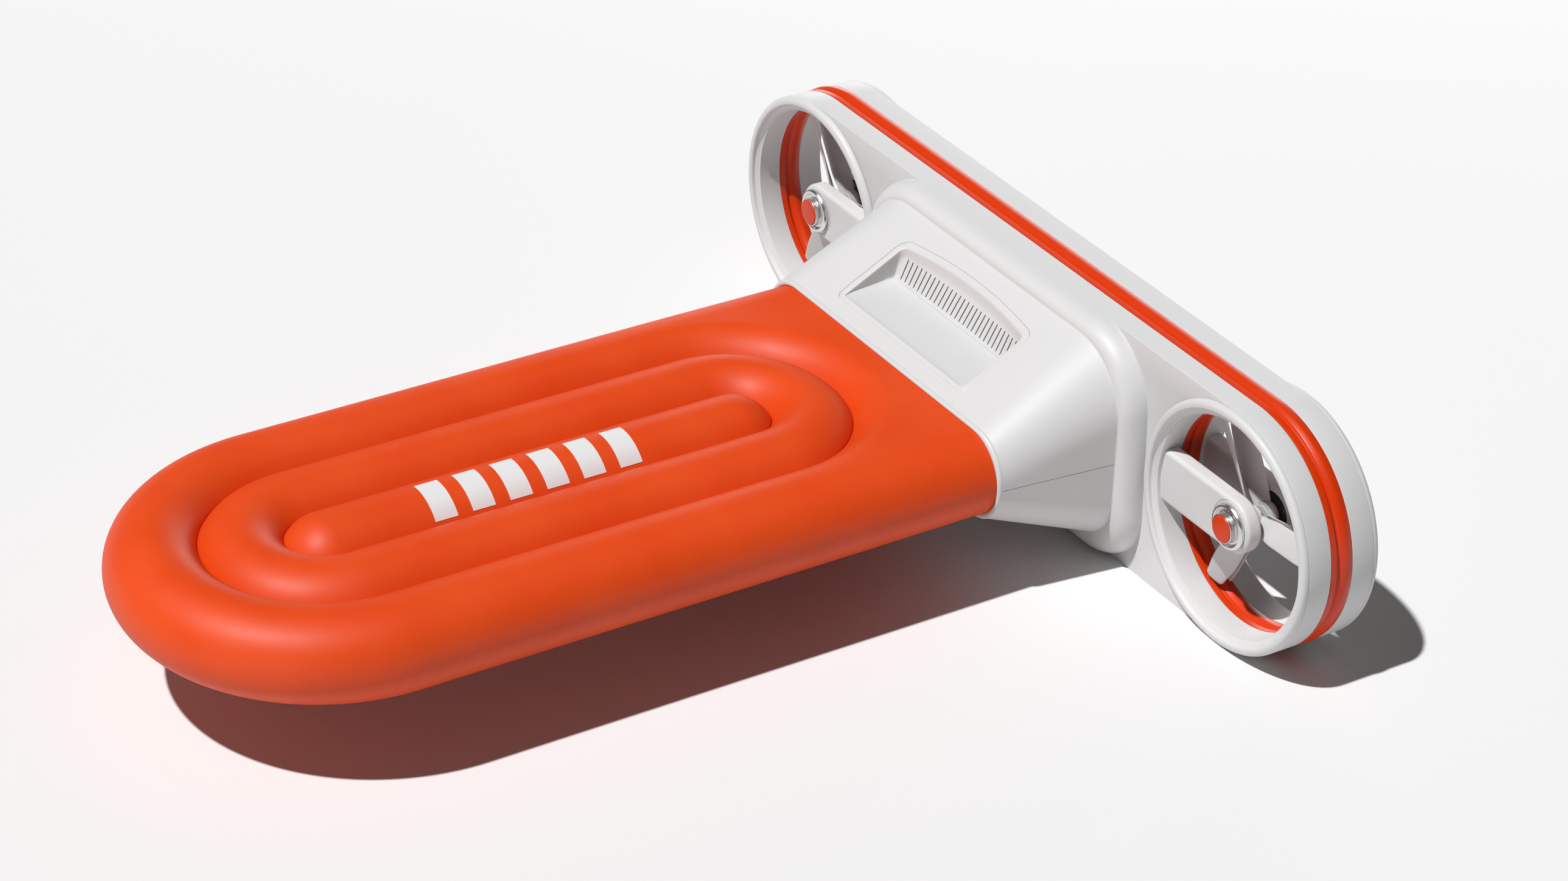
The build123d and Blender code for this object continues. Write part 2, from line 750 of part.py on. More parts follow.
def make_battery():
    pack = Pos(0, battery_y, battery_low + battery_size[2] / 2) * Box(*battery_size)
    return fillet(pack.edges().filter_by(Axis.Z), 8)


def make_control_unit():
    low = battery_low + battery_size[2]
    unit = Pos(0, battery_y, low + control_size[2] / 2) * Box(*control_size)
    return fillet(unit.edges().filter_by(Axis.Z), 5)


# ---------------------------------------------------------------- write every node
os.makedirs("parts", exist_ok=True)

valves = dict(zip(("outer", "middle", "centre"), valve_places()))
save("outer_chamber", make_chamber(outer_chamber_body, valves["outer"]))
save("middle_chamber", make_chamber(middle_chamber_body, valves["middle"]))
save("centre_chamber", make_chamber(centre_chamber_body, valves["centre"]))
save("valve_bodies", Compound(children=[make_valve_body(*place) for place in valves.values()]))
for chamber, place in valves.items():
    save(f"{chamber}_valve_plunger", make_plunger(*place))
save("stern_flange", make_stern_flange())

upper_shell, lower_shell = make_cowl()
save("cowl_upper_shell", upper_shell)
save("cowl_lower_shell", lower_shell)
save("cowl_front_rim", make_front_rim())
save("vent_insert", make_vent_insert())

save("bar_front_shell", make_front_shell())
save("bar_middle_frame", make_middle_frame())
save("bar_rear_shell", make_rear_shell())
save("shell_screws", make_screws())

for side_name, side in duct_sides.items():
    for end_name, end in duct_ends.items():
        place = f"{side_name}_{end_name}"
        save(f"{place}_duct_lip", make_lip(side, end))
        save(f"{place}_motor_arm", make_arm(side, end))
        save(f"{place}_bearings", make_bearings(side, end))
        save(f"{place}_stator", make_stator(side, end))
        save(f"{place}_motor_bell", make_bell(side, end))
        save(f"{place}_motor_shaft", make_shaft(side, end))
        save(f"{place}_propeller", make_propeller(side, end))
        save(f"{place}_hub_collar", make_collar(side, end))
        save(f"{place}_end_cap", make_end_cap(side, end))

save("battery_pack", make_battery())
save("control_unit", make_control_unit())
save("speed_controllers", make_controllers())
save("motor_cables", Compound(children=[make_cable(side) for side in duct_sides.values()]))
save("power_button", make_button())
save("charge_socket", make_socket())
save("charge_flap", make_flap())
save("flap_hinge_pin", make_hinge_pin())
print("nodes written:", len(saved_names))
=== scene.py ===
# %% [markdown]
# # A powered rescue float, built round its engineering frame
#
# The object is an inflatable board made of nested air chambers. A hard cowl holds its stern and
# joins it to a crossbar, and each end of the crossbar is a duct with two propellers that turn
# opposite ways. The frame holds every moving body and the main sizes, which are read from its
# boxes. Finer shapes, which a box can't tell, are values in this script.

# %% Load the frame
import json
import math

import bmesh
import bpy
from mathutils import Matrix, Vector

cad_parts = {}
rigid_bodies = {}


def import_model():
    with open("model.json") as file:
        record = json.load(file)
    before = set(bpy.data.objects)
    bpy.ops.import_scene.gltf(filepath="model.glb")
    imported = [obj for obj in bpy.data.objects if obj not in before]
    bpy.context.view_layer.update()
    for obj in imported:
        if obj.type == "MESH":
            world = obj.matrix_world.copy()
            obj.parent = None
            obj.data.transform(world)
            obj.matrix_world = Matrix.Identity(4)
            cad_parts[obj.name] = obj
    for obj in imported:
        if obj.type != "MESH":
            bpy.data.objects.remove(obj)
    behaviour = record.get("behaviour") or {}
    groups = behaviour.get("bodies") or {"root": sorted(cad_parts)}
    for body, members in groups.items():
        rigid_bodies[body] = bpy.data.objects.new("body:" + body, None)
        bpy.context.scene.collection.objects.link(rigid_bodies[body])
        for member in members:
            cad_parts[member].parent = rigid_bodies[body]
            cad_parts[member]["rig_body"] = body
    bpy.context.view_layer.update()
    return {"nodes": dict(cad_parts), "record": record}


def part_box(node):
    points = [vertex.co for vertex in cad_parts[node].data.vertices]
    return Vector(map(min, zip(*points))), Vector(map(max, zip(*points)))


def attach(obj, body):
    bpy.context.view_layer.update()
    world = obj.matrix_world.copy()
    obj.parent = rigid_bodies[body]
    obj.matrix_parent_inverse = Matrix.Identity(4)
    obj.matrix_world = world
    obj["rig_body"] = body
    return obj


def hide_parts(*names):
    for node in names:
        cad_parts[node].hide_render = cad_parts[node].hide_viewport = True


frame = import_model()
mm = 0.001

# %% [markdown]
# ## The camera
#
# A long lens from well ahead and above keeps the crossbar and the float nearly free of
# perspective. The camera is placed by two angles and a distance from the point it looks at, and
# is then rolled a little about its own line of sight.

# %% Camera
azimuth, elevation, roll = (math.radians(v) for v in (57.47, 30.75, 1.62))
distance = 5201.25 * mm
look_at = Vector((0, -382.49, 136.8)) * mm


def towards(heading, height):
    """The unit vector to a place at a heading and a height, in radians."""
    level_part = math.cos(height)
    return Vector((math.sin(heading) * level_part, -math.cos(heading) * level_part, math.sin(height)))


back = towards(azimuth, elevation)
level = Vector((math.cos(azimuth), math.sin(azimuth), 0))
right = level * math.cos(roll) + back.cross(level) * math.sin(roll)

camera_data = bpy.data.cameras.new("camera")
camera_data.lens, camera_data.sensor_width = 96.0, 36.0
camera_data.clip_start, camera_data.clip_end = 0.1, 60
camera = bpy.data.objects.new("camera", camera_data)
bpy.context.scene.collection.objects.link(camera)
turn = Matrix((right, back.cross(right), back)).transposed()
camera.matrix_world = Matrix.Translation(look_at + back * distance) @ turn.to_4x4()
bpy.context.scene.camera = camera
print("camera at", [round(v, 3) for v in camera.location])

# %% [markdown]
# ## Light and floor
#
# One small, strong key light high over the bow draws the clear shadow that falls to the stern.
# Two broad, low lights, one on the camera's side and one behind, fill the walls that the key
# misses. Being low, they light the floor beside the object only a little, but further out the
# rear one leaves a bright pool. The sky adds a very little.

# %% Light and floor
key_from = Vector((0.02, -0.48, 1.0)).normalized()
key_data = bpy.data.lights.new("key", "SUN")
key_data.energy, key_data.angle = 3.95, math.radians(1.6)
key = bpy.data.objects.new("key", key_data)
key.rotation_mode = "QUATERNION"
key.rotation_quaternion = key_from.to_track_quat("Z", "Y")
bpy.context.scene.collection.objects.link(key)


def soft_light(name, heading, height, away, size, power):
    """A flat light that looks at the middle of the object from a heading and a height, in degrees."""
    data = bpy.data.lights.new(name, "AREA")
    data.shape, data.size, data.size_y, data.energy = "RECTANGLE", size[0], size[1], power
    lamp = bpy.data.objects.new(name, data)
    aim = towards(math.radians(heading), math.radians(height))
    lamp.location = look_at + aim * away
    lamp.rotation_mode = "QUATERNION"
    lamp.rotation_quaternion = aim.to_track_quat("Z", "Y")
    lamp.visible_camera = False
    bpy.context.scene.collection.objects.link(lamp)
    return lamp


soft_light("fill", 40, 5, 5.0, (4.0, 0.6), 20)
soft_light("rear_fill", 222, 7, 5.0, (4.0, 1.0), 70)

world = bpy.data.worlds.new("studio")
world.use_nodes = True
world.node_tree.nodes["Background"].inputs["Color"].default_value = (1, 1, 1, 1)
world.node_tree.nodes["Background"].inputs["Strength"].default_value = 0.06
bpy.context.scene.world = world
bpy.context.scene.view_settings.view_transform = "Standard"

floor_mesh = bpy.data.meshes.new("floor")
reach = 14.0
floor_corners = [(-reach, -reach, 0), (reach, -reach, 0), (reach, reach, 0), (-reach, reach, 0)]
floor_mesh.from_pydata(floor_corners, [], [(0, 1, 2, 3)])
floor = bpy.data.objects.new("floor", floor_mesh)
bpy.context.scene.collection.objects.link(floor)
print("key light from", [round(v, 2) for v in key_from])

# %% [markdown]
# ## Finishes
#
# Every finish is a small node tree on object coordinates, so that a pattern keeps its real size
# and stays put on the piece. A helper makes the tree's usual start: a Principled shader with its
# constant values set straight on its sockets. What varies over a surface is added after it.

# %% A shader to start from
def finish(name, colour, roughness, metallic=0.0, coat=0.0, sheen=0.0, specular=0.5):
    material = bpy.data.materials.new(name)
    material.use_nodes = True
    shader = material.node_tree.nodes["Principled BSDF"]
    shader.inputs["Base Color"].default_value = (*colour, 1)
    shader.inputs["Roughness"].default_value = roughness
    shader.inputs["Metallic"].default_value = metallic
    shader.inputs["Coat Weight"].default_value = coat
    shader.inputs["Coat Roughness"].default_value = 0.25
    shader.inputs["Sheen Weight"].default_value = sheen
    shader.inputs["Specular IOR Level"].default_value = specular
    return material


def add_node(material, kind, **values):
    node = material.node_tree.nodes.new(kind)
    for key_name, value in values.items():
        if key_name in node.inputs:
            node.inputs[key_name].default_value = value
        else:
            setattr(node, key_name, value)
    return node


def wire(material, start, end):
    material.node_tree.links.new(start, end)


def object_noise(material, size, detail=2.0, stretch=(1, 1, 1)):
    """Noise whose grains are about size metres across."""
    place = add_node(material, "ShaderNodeTexCoord")
    mapping = add_node(material, "ShaderNodeMapping")
    mapping.inputs["Scale"].default_value = stretch
    noise = add_node(material, "ShaderNodeTexNoise", Scale=1 / size, Detail=detail)
    wire(material, place.outputs["Object"], mapping.inputs["Vector"])
    wire(material, mapping.outputs["Vector"], noise.inputs["Vector"])
    return noise.outputs["Fac"]


def vary_colour(material, grains, low, high):
    """The base colour drifts between two tints with the grains."""
    ramp = add_node(material, "ShaderNodeValToRGB")
    ramp.color_ramp.elements[0].position, ramp.color_ramp.elements[1].position = 0.3, 0.7
    ramp.color_ramp.elements[0].color, ramp.color_ramp.elements[1].color = (*low, 1), (*high, 1)
    wire(material, grains, ramp.inputs["Fac"])
    wire(material, ramp.outputs["Color"], material.node_tree.nodes["Principled BSDF"].inputs["Base Color"])


def vary_roughness(material, grains, low, high):
    span = add_node(material, "ShaderNodeMapRange")
    span.inputs["To Min"].default_value, span.inputs["To Max"].default_value = low, high
    wire(material, grains, span.inputs["Value"])
    wire(material, span.outputs["Result"], material.node_tree.nodes["Principled BSDF"].inputs["Roughness"])


def raise_surface(material, height, depth, strength=1.0):
    bump = add_node(material, "ShaderNodeBump", Distance=depth, Strength=strength)
    wire(material, height, bump.inputs["Height"])
    wire(material, bump.outputs["Normal"], material.node_tree.nodes["Principled BSDF"].inputs["Normal"])


# %% [markdown]
# ### Coated fabric, moulded plastic, metal and rubber
#
# The float's skin is a woven fabric under a thick orange coat: a faint weave and a satin gloss.
# The shells are white plastic from a spark-eroded mould, which leaves a fine, even grain. The
# coloured trim is a smoother moulding. Turned metal gets fine rings, and rubber is dull.

# %% The float's skin
orange_skin = finish("orange_coated_fabric", (0.67, 0.058, 0.002), 0.5, specular=0.34)
vary_colour(orange_skin, object_noise(orange_skin, 0.11), (0.66, 0.052, 0.002), (0.69, 0.064, 0.006))
vary_roughness(orange_skin, object_noise(orange_skin, 0.018), 0.47, 0.54)
weave_scale, weave_wander = 300.0, 1.2
weave = {}
for thread, direction in (("warp", "X"), ("weft", "Y")):
    place = add_node(orange_skin, "ShaderNodeTexCoord")
    weave[thread] = add_node(orange_skin, "ShaderNodeTexWave", bands_direction=direction,
                             Scale=weave_scale, Distortion=weave_wander)
    wire(orange_skin, place.outputs["Object"], weave[thread].inputs["Vector"])
crossing = add_node(orange_skin, "ShaderNodeMath", operation="ADD")
wire(orange_skin, weave["warp"].outputs["Fac"], crossing.inputs[0])
wire(orange_skin, weave["weft"].outputs["Fac"], crossing.inputs[1])
raise_surface(orange_skin, crossing.outputs["Value"], 0.00003, 0.35)

# %% The white shells
white_shell = finish("white_moulded_plastic", (0.60, 0.595, 0.595), 0.48)
vary_colour(white_shell, object_noise(white_shell, 0.0011, 3), (0.58, 0.576, 0.576), (0.62, 0.616, 0.616))
vary_roughness(white_shell, object_noise(white_shell, 0.004), 0.43, 0.53)
raise_surface(white_shell, object_noise(white_shell, 0.0007, 3), 0.00010, 0.5)

# %% Trim, propellers, printed film and floor
orange_trim = finish("orange_moulded_plastic", (0.60, 0.034, 0.0), 0.40, specular=0.35)
vary_roughness(orange_trim, object_noise(orange_trim, 0.003), 0.32, 0.42)
raise_surface(orange_trim, object_noise(orange_trim, 0.0008, 3), 0.00005, 0.4)

propeller_grey = finish("propeller_plastic", (0.52, 0.52, 0.52), 0.38)
vary_roughness(propeller_grey, object_noise(propeller_grey, 0.003), 0.33, 0.44)
raise_surface(propeller_grey, object_noise(propeller_grey, 0.0008, 3), 0.00005, 0.4)

white_film = finish("white_printed_film", (0.70, 0.70, 0.70), 0.45)
vary_roughness(white_film, object_noise(white_film, 0.006), 0.40, 0.52)

floor_paper = finish("pale_floor", (0.73, 0.73, 0.73), 0.95, specular=0.0)
vary_colour(floor_paper, object_noise(floor_paper, 1.7), (0.727, 0.726, 0.726), (0.735, 0.735, 0.735))
floor_mesh.materials.append(floor_paper)

# %% Metals and dark pieces
bright_metal = finish("satin_metal", (0.72, 0.71, 0.71), 0.26, metallic=1.0)
vary_roughness(bright_metal, object_noise(bright_metal, 0.002), 0.22, 0.32)
raise_surface(bright_metal, object_noise(bright_metal, 0.0006, 1, (0.1, 6, 0.1)), 0.00001, 0.3)

steel = finish("ground_steel", (0.56, 0.56, 0.57), 0.34, metallic=1.0)
vary_roughness(steel, object_noise(steel, 0.0015), 0.28, 0.42)

black_metal = finish("black_motor_metal", (0.022, 0.022, 0.024), 0.35, metallic=0.4)
vary_roughness(black_metal, object_noise(black_metal, 0.002), 0.28, 0.45)

dark_plastic = finish("dark_plastic", (0.030, 0.030, 0.031), 0.5)
vary_roughness(dark_plastic, object_noise(dark_plastic, 0.003), 0.42, 0.58)
raise_surface(dark_plastic, object_noise(dark_plastic, 0.0008, 3), 0.00006, 0.4)

black_rubber = finish("black_rubber", (0.018, 0.018, 0.018), 0.72)
vary_roughness(black_rubber, object_noise(black_rubber, 0.004), 0.64, 0.80)
raise_surface(black_rubber, object_noise(black_rubber, 0.0012, 3), 0.00008, 0.5)

anodised_case = finish("anodised_case", (0.19, 0.19, 0.20), 0.42, metallic=0.9)
vary_roughness(anodised_case, object_noise(anodised_case, 0.002), 0.36, 0.5)

slot_finish = {
    "float_skin": orange_skin, "white_plastic": white_shell, "orange_plastic": orange_trim,
    "propeller_plastic": propeller_grey, "dark_plastic": dark_plastic, "black_rubber": black_rubber,
    "bright_metal": bright_metal, "black_metal": black_metal, "steel": steel, "metal_case": anodised_case,
}
print("finishes:", len(slot_finish))

# %% [markdown]
# ### The frame's own nodes take their finish from the record
#
# Pieces that stay as the frame made them, most of them inside the object, only need a finish.

# %% Finish the frame's nodes
node_slot = {part["node"]: part["material_slot"] for part in frame["record"]["subparts"]}
for node_name, node in frame["nodes"].items():
    node.data.materials.clear()
    node.data.materials.append(slot_finish[node_slot[node_name]])
print("frame nodes with a finish:", len(frame["nodes"]))

# %% [markdown]
# ## Tools for making pieces
#
# Most pieces are a cross-section carried along a path: straight, round a circle, or round an
# outline. So a few helpers do nearly all the work. One rounds the corners of a section, one
# skins a list of rings, and one turns the skins into a finished object that rides on a body.

# %% Sections and skins
def rounded(corners, steps=5, closed=True):
    """A polyline whose corners are arcs. Each corner is (across, along, radius)."""
    path, last = [], len(corners) - 1
    for index, (a, b, radius) in enumerate(corners):
        here = Vector((a, b))
        if radius == 0 or (not closed and index in (0, last)):
            path.append((a, b))
            continue
        to_before = (Vector(corners[index - 1][:2]) - here).normalized()
        to_after = (Vector(corners[(index + 1) % len(corners)][:2]) - here).normalized()
        half = to_before.angle(to_after) / 2
        centre = here + (to_before + to_after).normalized() * (radius / math.sin(half))
        start = here + to_before * (radius / math.tan(half)) - centre
        sweep = (math.pi - 2 * half) * (1 if start.x * to_after.y - start.y * to_after.x > 0 else -1)
        for k in range(steps + 1):
            t = sweep * k / steps
            path.append((
                centre.x + start.x * math.cos(t) - start.y * math.sin(t),
                centre.y + start.x * math.sin(t) + start.y * math.cos(t),
            ))
    return path


def skin(rings, ring_closed=True, looped=False, capped=False):
    """Faces between rings that have the same number of points each."""
    count = len(rings[0])
    points = [p for ring in rings for p in ring]
    pairs = [(k, k + 1) for k in range(len(rings) - 1)]
    if looped:
        pairs.append((len(rings) - 1, 0))
    faces = []
    for a, b in pairs:
        for i in range(count if ring_closed else count - 1):
            j = (i + 1) % count
            faces.append((a * count + i, a * count + j, b * count + j, b * count + i))
    if capped:
        faces.append(tuple(range(count)))
        faces.append(tuple((len(rings) - 1) * count + i for i in range(count)))
    return points, faces


def weld(name, *skins):
    """One mesh from several skins: touching points are merged and every face points outwards."""
    shape = bmesh.new()
    for points, faces in skins:
        corners = [shape.verts.new(Vector(p) * mm) for p in points]
        for face in faces:
            shape.faces.new([corners[i] for i in face])
    bmesh.ops.remove_doubles(shape, verts=shape.verts, dist=0.004 * mm)
    bmesh.ops.dissolve_degenerate(shape, edges=shape.edges, dist=0.001 * mm)
    bmesh.ops.recalc_face_normals(shape, faces=shape.faces)
    mesh = bpy.data.meshes.new(name)
    shape.to_mesh(mesh)
    shape.free()
    return mesh


def sweep(start, turn, steps):
    """Evenly spaced angles, both ends included."""
    return [start + turn * k / steps for k in range(steps + 1)]


def merge_into(mesh, *sources):
    """The faces of all the sources go into one mesh."""
    shape = bmesh.new()
    for source in sources:
        shape.from_mesh(source)
    shape.to_mesh(mesh)
    shape.free()
    return mesh


# %% Finished pieces
def bake_modifiers(piece):
    """The piece's modifiers become its mesh."""
    bpy.context.view_layer.update()
    evaluated = piece.evaluated_get(bpy.context.evaluated_depsgraph_get())
    mesh = bpy.data.meshes.new_from_object(evaluated)
    piece.modifiers.clear()
    piece.data = mesh
    return piece


def loose(name, mesh):
    piece = bpy.data.objects.new(name, mesh)
    bpy.context.scene.collection.objects.link(piece)
    return piece


def complete(piece, slot, body="hull", stands_for=(), crease=32):
    """Give a piece its finish and shading, and let it ride on its body in place of its nodes."""
    piece.data.materials.clear()
    piece.data.materials.append(slot_finish[slot])
    piece.data.shade_smooth()
    piece.data.set_sharp_from_angle(angle=math.radians(crease))
    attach(piece, body)
    if stands_for:
        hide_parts(*stands_for)
    print(f"{piece.name}: {len(piece.data.polygons)} faces on {body}")
    return piece


def cut(piece, tool):
    """Take the tool's shape out of the piece."""
    step = piece.modifiers.new("cut", "BOOLEAN")
    step.operation, step.solver, step.object = "DIFFERENCE", "EXACT", tool
    bake_modifiers(piece)
    bpy.data.objects.remove(tool)
    return piece


def soften_edges(piece, width, segments=2, angle=40):
    step = piece.modifiers.new("soften", "BEVEL")
    step.width, step.segments, step.limit_method = width * mm, segments, "ANGLE"
    step.angle_limit, step.harden_normals = math.radians(angle), False
    step.use_clamp_overlap = True
    return bake_modifiers(piece)


# %% Move a grown mesh into place
def placed(piece, to_place):
    """Every point is moved by a function of its millimetres; the normals point outwards again."""
    shape = bmesh.new()
    shape.from_mesh(piece.data)
    bmesh.ops.remove_doubles(shape, verts=shape.verts, dist=0.002 * mm)
    for point in shape.verts:
        point.co = Vector(to_place(point.co / mm)) * mm
    bmesh.ops.recalc_face_normals(shape, faces=shape.faces)
    shape.to_mesh(piece.data)
    shape.free()
    return piece


# %% [markdown]
# ## Sizes from the frame
#
# The ducts, the crossbar and the cowl are read from the boxes of their nodes, in millimetres.

# %% Sizes
def size_box(node_name):
    low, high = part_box(node_name)
    return low / mm, high / mm


lip_low, lip_high = size_box("port_front_duct_lip")
duct_x = (lip_low.x + lip_high.x) / 2
duct_r = (lip_high.x - lip_low.x) / 2
axis_z = (lip_low.z + lip_high.z) / 2
lip_front = -lip_low.y
lip_height = 9.0
bar_face = lip_front - lip_height
band_face = size_box("bar_middle_frame")[1].y
rim_low, rim_high = size_box("cowl_front_rim")
upper_low, upper_high = size_box("cowl_upper_shell")
lower_low, lower_high = size_box("cowl_lower_shell")
bore_r = 140.0
sides = {"starboard": -1, "port": 1}
ends = {"front": -1, "rear": 1}
print(f"ducts at x {duct_x:.0f}, radius {duct_r:.0f}, bar {2 * bar_face:.0f} deep")

# %% [markdown]
# ## The inflated chambers
#
# Three closed tubes lie side by side: a long one in the middle, a ring round it, and a large
# outer ring that also fills the space behind, up to the cowl. Pressure makes each one round, so
# its top is part of a circle, and where two tubes press together they meet in a deep, tight
# crease. A cloth simulation could make such a shape, but a tube this taut is nearly a circle in
# section, so it is written down instead: the distance from the float's spine gives the height.

# %% The spine and its rings
outer_low, outer_high = size_box("outer_chamber")
middle_low, middle_high = size_box("middle_chamber")
centre_low, centre_high = size_box("centre_chamber")
float_z = (centre_low.z + centre_high.z) / 2
tube_r = (centre_high.z - centre_low.z) / 2
centre_web = centre_high.x
middle_web = middle_high.x
tube_gap = 0.3
middle_r = (centre_web + middle_web + tube_gap) / 2
outer_web = middle_web + tube_gap
outer_crest = 200.0
outer_width = outer_high.x - outer_crest
bow_y = outer_low.y + outer_high.x
stern_y = centre_high.y - centre_web
arc_steps, run_steps = 64, 24
runs = [bow_y + (stern_y - bow_y) * k / run_steps for k in range(1, run_steps)]


def bend(radius, centre_y, angles):
    """Points on a circle about a place on the spine."""
    return [(radius * math.cos(a), centre_y + radius * math.sin(a)) for a in angles]


def around_spine(reach_out, stern=sweep(0, math.pi, arc_steps)):
    """Points at one distance from the spine, all the way round it."""
    ring = bend(reach_out, bow_y, sweep(math.pi, math.pi, arc_steps)) + [(reach_out, y) for y in runs]
    return ring + bend(reach_out, stern_y, stern) + [(-reach_out, y) for y in reversed(runs)]


def stacked(line, path):
    """One path round the float for each (distance, height) of a line."""
    return [[(x, y, float_z + h) for x, y in path(d)] for d, h in line]


def tube_top(centre, half_width, start, end, steps=18):
    """(distance, height) along the top of a tube, evenly spaced in angle."""
    first = math.acos(max(-1.0, min(1.0, (start - centre) / half_width)))
    last = math.acos(max(-1.0, min(1.0, (end - centre) / half_width)))
    angles = sweep(first, last - first, steps)
    return [(centre + half_width * math.cos(a), tube_r * math.sin(a)) for a in angles]


def ring_skin(top, closed):
    """A tube round the spine from its top line; the underside mirrors the top."""
    section = top + [(d, -h) for d, h in reversed(top)]
    return skin(stacked(section, around_spine), looped=closed)


# %% Centre and middle chambers
centre_top = tube_top(0.0, tube_r, 0.0, centre_web, 16)
centre_tube = loose("centre_tube", weld("centre_tube", ring_skin(centre_top, False)))
complete(centre_tube, "float_skin", stands_for=["centre_chamber"], crease=50)

middle_top = tube_top(middle_r, tube_r, centre_web + tube_gap, middle_web, 32)
middle_tube = loose("middle_tube", weld("middle_tube", ring_skin(middle_top, True)))
complete(middle_tube, "float_skin", stands_for=["middle_chamber"], crease=50)

# %% [markdown]
# The outer chamber is a ring too, but its outer half runs straight on to the cowl, and the space
# between the ring's round stern and the cowl is a flat, full cushion. Its mesh has four skins:
# the ring's inner half, the outer half along a horseshoe path, the flat top and bottom between
# them, and the end that the cowl hides. All four share the same points along their borders.

# %% Outer chamber
rim_gap, tiny = 0.4, 1e-6
stern_end = rim_high.y - rim_gap
block_length = stern_end - stern_y
corner_angle = math.atan2(block_length, outer_crest)
side_steps, back_steps = 14, 20


def stern_angles():
    side = [corner_angle * k / side_steps for k in range(side_steps)]
    across = math.pi - 2 * corner_angle
    return side + sweep(corner_angle, across, back_steps) + [math.pi - a for a in reversed(side)]


def to_border(angle):
    """Where a line from the spine's end meets the straight border of the flat cushion."""
    if angle < corner_angle:
        return outer_crest, stern_y + outer_crest * math.tan(angle)
    if angle > math.pi - corner_angle:
        return -outer_crest, stern_y + outer_crest * math.tan(math.pi - angle)
    return block_length / math.tan(angle), stern_end


def outer_path(reach_out):
    """Round the spine, with the stern arc at the cushion's angles."""
    return around_spine(reach_out, stern_angles())


def horseshoe(reach_out):
    """From the cowl along one side, round the bow, and back along the other side."""
    side_line = runs + [to_border(a)[1] for a in stern_angles() if a <= corner_angle + tiny]
    path = [(reach_out, y) for y in reversed(side_line)]
    path += bend(reach_out, bow_y, sweep(2 * math.pi, -math.pi, arc_steps))
    return path + [(-reach_out, y) for y in side_line]


inner_top = tube_top(outer_crest, tube_r, outer_web, outer_crest, 20)
inner_line = [(d, -h) for d, h in reversed(inner_top)] + inner_top
outer_line = [(outer_crest + outer_width * math.sin(a), tube_r * math.cos(a)) for a in sweep(0, math.pi, 36)]
inner_half = skin(stacked(inner_line, outer_path))
outer_half = skin(stacked(outer_line, horseshoe), ring_closed=False)

cushion, cushion_steps = [], 6
for height in (float_z + tube_r, float_z - tube_r):
    arc = [(outer_crest * math.cos(a), stern_y + outer_crest * math.sin(a), height) for a in stern_angles()]
    border = [(*to_border(a), height) for a in stern_angles()]
    pairs = list(zip(arc, border))
    inner_lines = [
        [tuple(p + (q - p) * k / cushion_steps for p, q in zip(start, end)) for start, end in pairs]
        for k in range(cushion_steps + 1)
    ]
    cushion.append(skin(inner_lines, ring_closed=False))

rear_angles = [a for a in stern_angles() if corner_angle - tiny <= a <= math.pi - corner_angle + tiny]
rear_x = [to_border(a)[0] for a in rear_angles]
end_outline = [(x, stern_end, float_z + tube_r) for x in reversed(rear_x)]
end_outline += [(d, stern_end, float_z + h) for d, h in outer_line[1:-1]]
end_outline += [(x, stern_end, float_z - tube_r) for x in rear_x]
end_outline += [(-d, stern_end, float_z + h) for d, h in reversed(outer_line[1:-1])]
stern_face = (end_outline, [tuple(range(len(end_outline)))])

outer_mesh = weld("outer_tube", inner_half, outer_half, *cushion, stern_face)
rim_thickness = 5.0
seated_height = (rim_high.z - rim_low.z) / 2 - rim_thickness
for point in outer_mesh.vertices:
    share = max(0.0, min(1.0, (point.co.y / mm - stern_y) / (rim_low.y - stern_y)))
    ease = share * share * (3 - 2 * share)
    point.co.z = (float_z + (point.co.z / mm - float_z) * (1 + (seated_height / tube_r - 1) * ease)) * mm
outer_tube = loose("outer_tube", outer_mesh)
complete(outer_tube, "float_skin", stands_for=["outer_chamber"], crease=50)

# %% [markdown]
# ## The marking on the middle chamber
#
# A row of plain white bars is printed on a thin film along the middle tube. Geometry Nodes make
# it: one small grid, repeated along the tube, is wrapped on the tube's round top by setting each
# point's height from its distance across.

# %% A tree with named inputs
def new_tree(name, numbers):
    """A geometry tree whose inputs are the named numbers."""
    tree = bpy.data.node_groups.new(name, "GeometryNodeTree")
    tree.interface.new_socket("Geometry", in_out="INPUT", socket_type="NodeSocketGeometry")
    for label, value in numbers.items():
        kind = "NodeSocketInt" if isinstance(value, int) else "NodeSocketFloat"
        tree.interface.new_socket(label, in_out="INPUT", socket_type=kind).default_value = value
    tree.interface.new_socket("Geometry", in_out="OUTPUT", socket_type="NodeSocketGeometry")
    return tree, tree.nodes.new("NodeGroupInput").outputs, tree.nodes.new("NodeGroupOutput").inputs


def geo(tree, kind, settings=None, **links):
    """A node whose sockets are given values or linked to other nodes' outputs."""
    node = tree.nodes.new(kind)
    for label, value in (settings or {}).items():
        setattr(node, label, value)
    for label, value in links.items():
        socket = node.inputs[int(label[1:])] if label[1:].isdigit() else node.inputs[label.replace("_", " ")]
        if isinstance(value, bpy.types.NodeSocket):
            tree.links.new(value, socket)
        else:
            socket.default_value = value
    return node.outputs


def maths(tree, operation, *values):
    links = {f"n{k}": value for k, value in enumerate(values)}
    return geo(tree, "ShaderNodeMath", {"operation": operation}, **links)[0]


def close_tree(tree, geometry, material, result):
    solid = geo(tree, "GeometryNodeRealizeInstances", Geometry=geometry)[0]
    painted = geo(tree, "GeometryNodeSetMaterial", Geometry=solid, Material=material)[0]
    tree.links.new(painted, result[0])


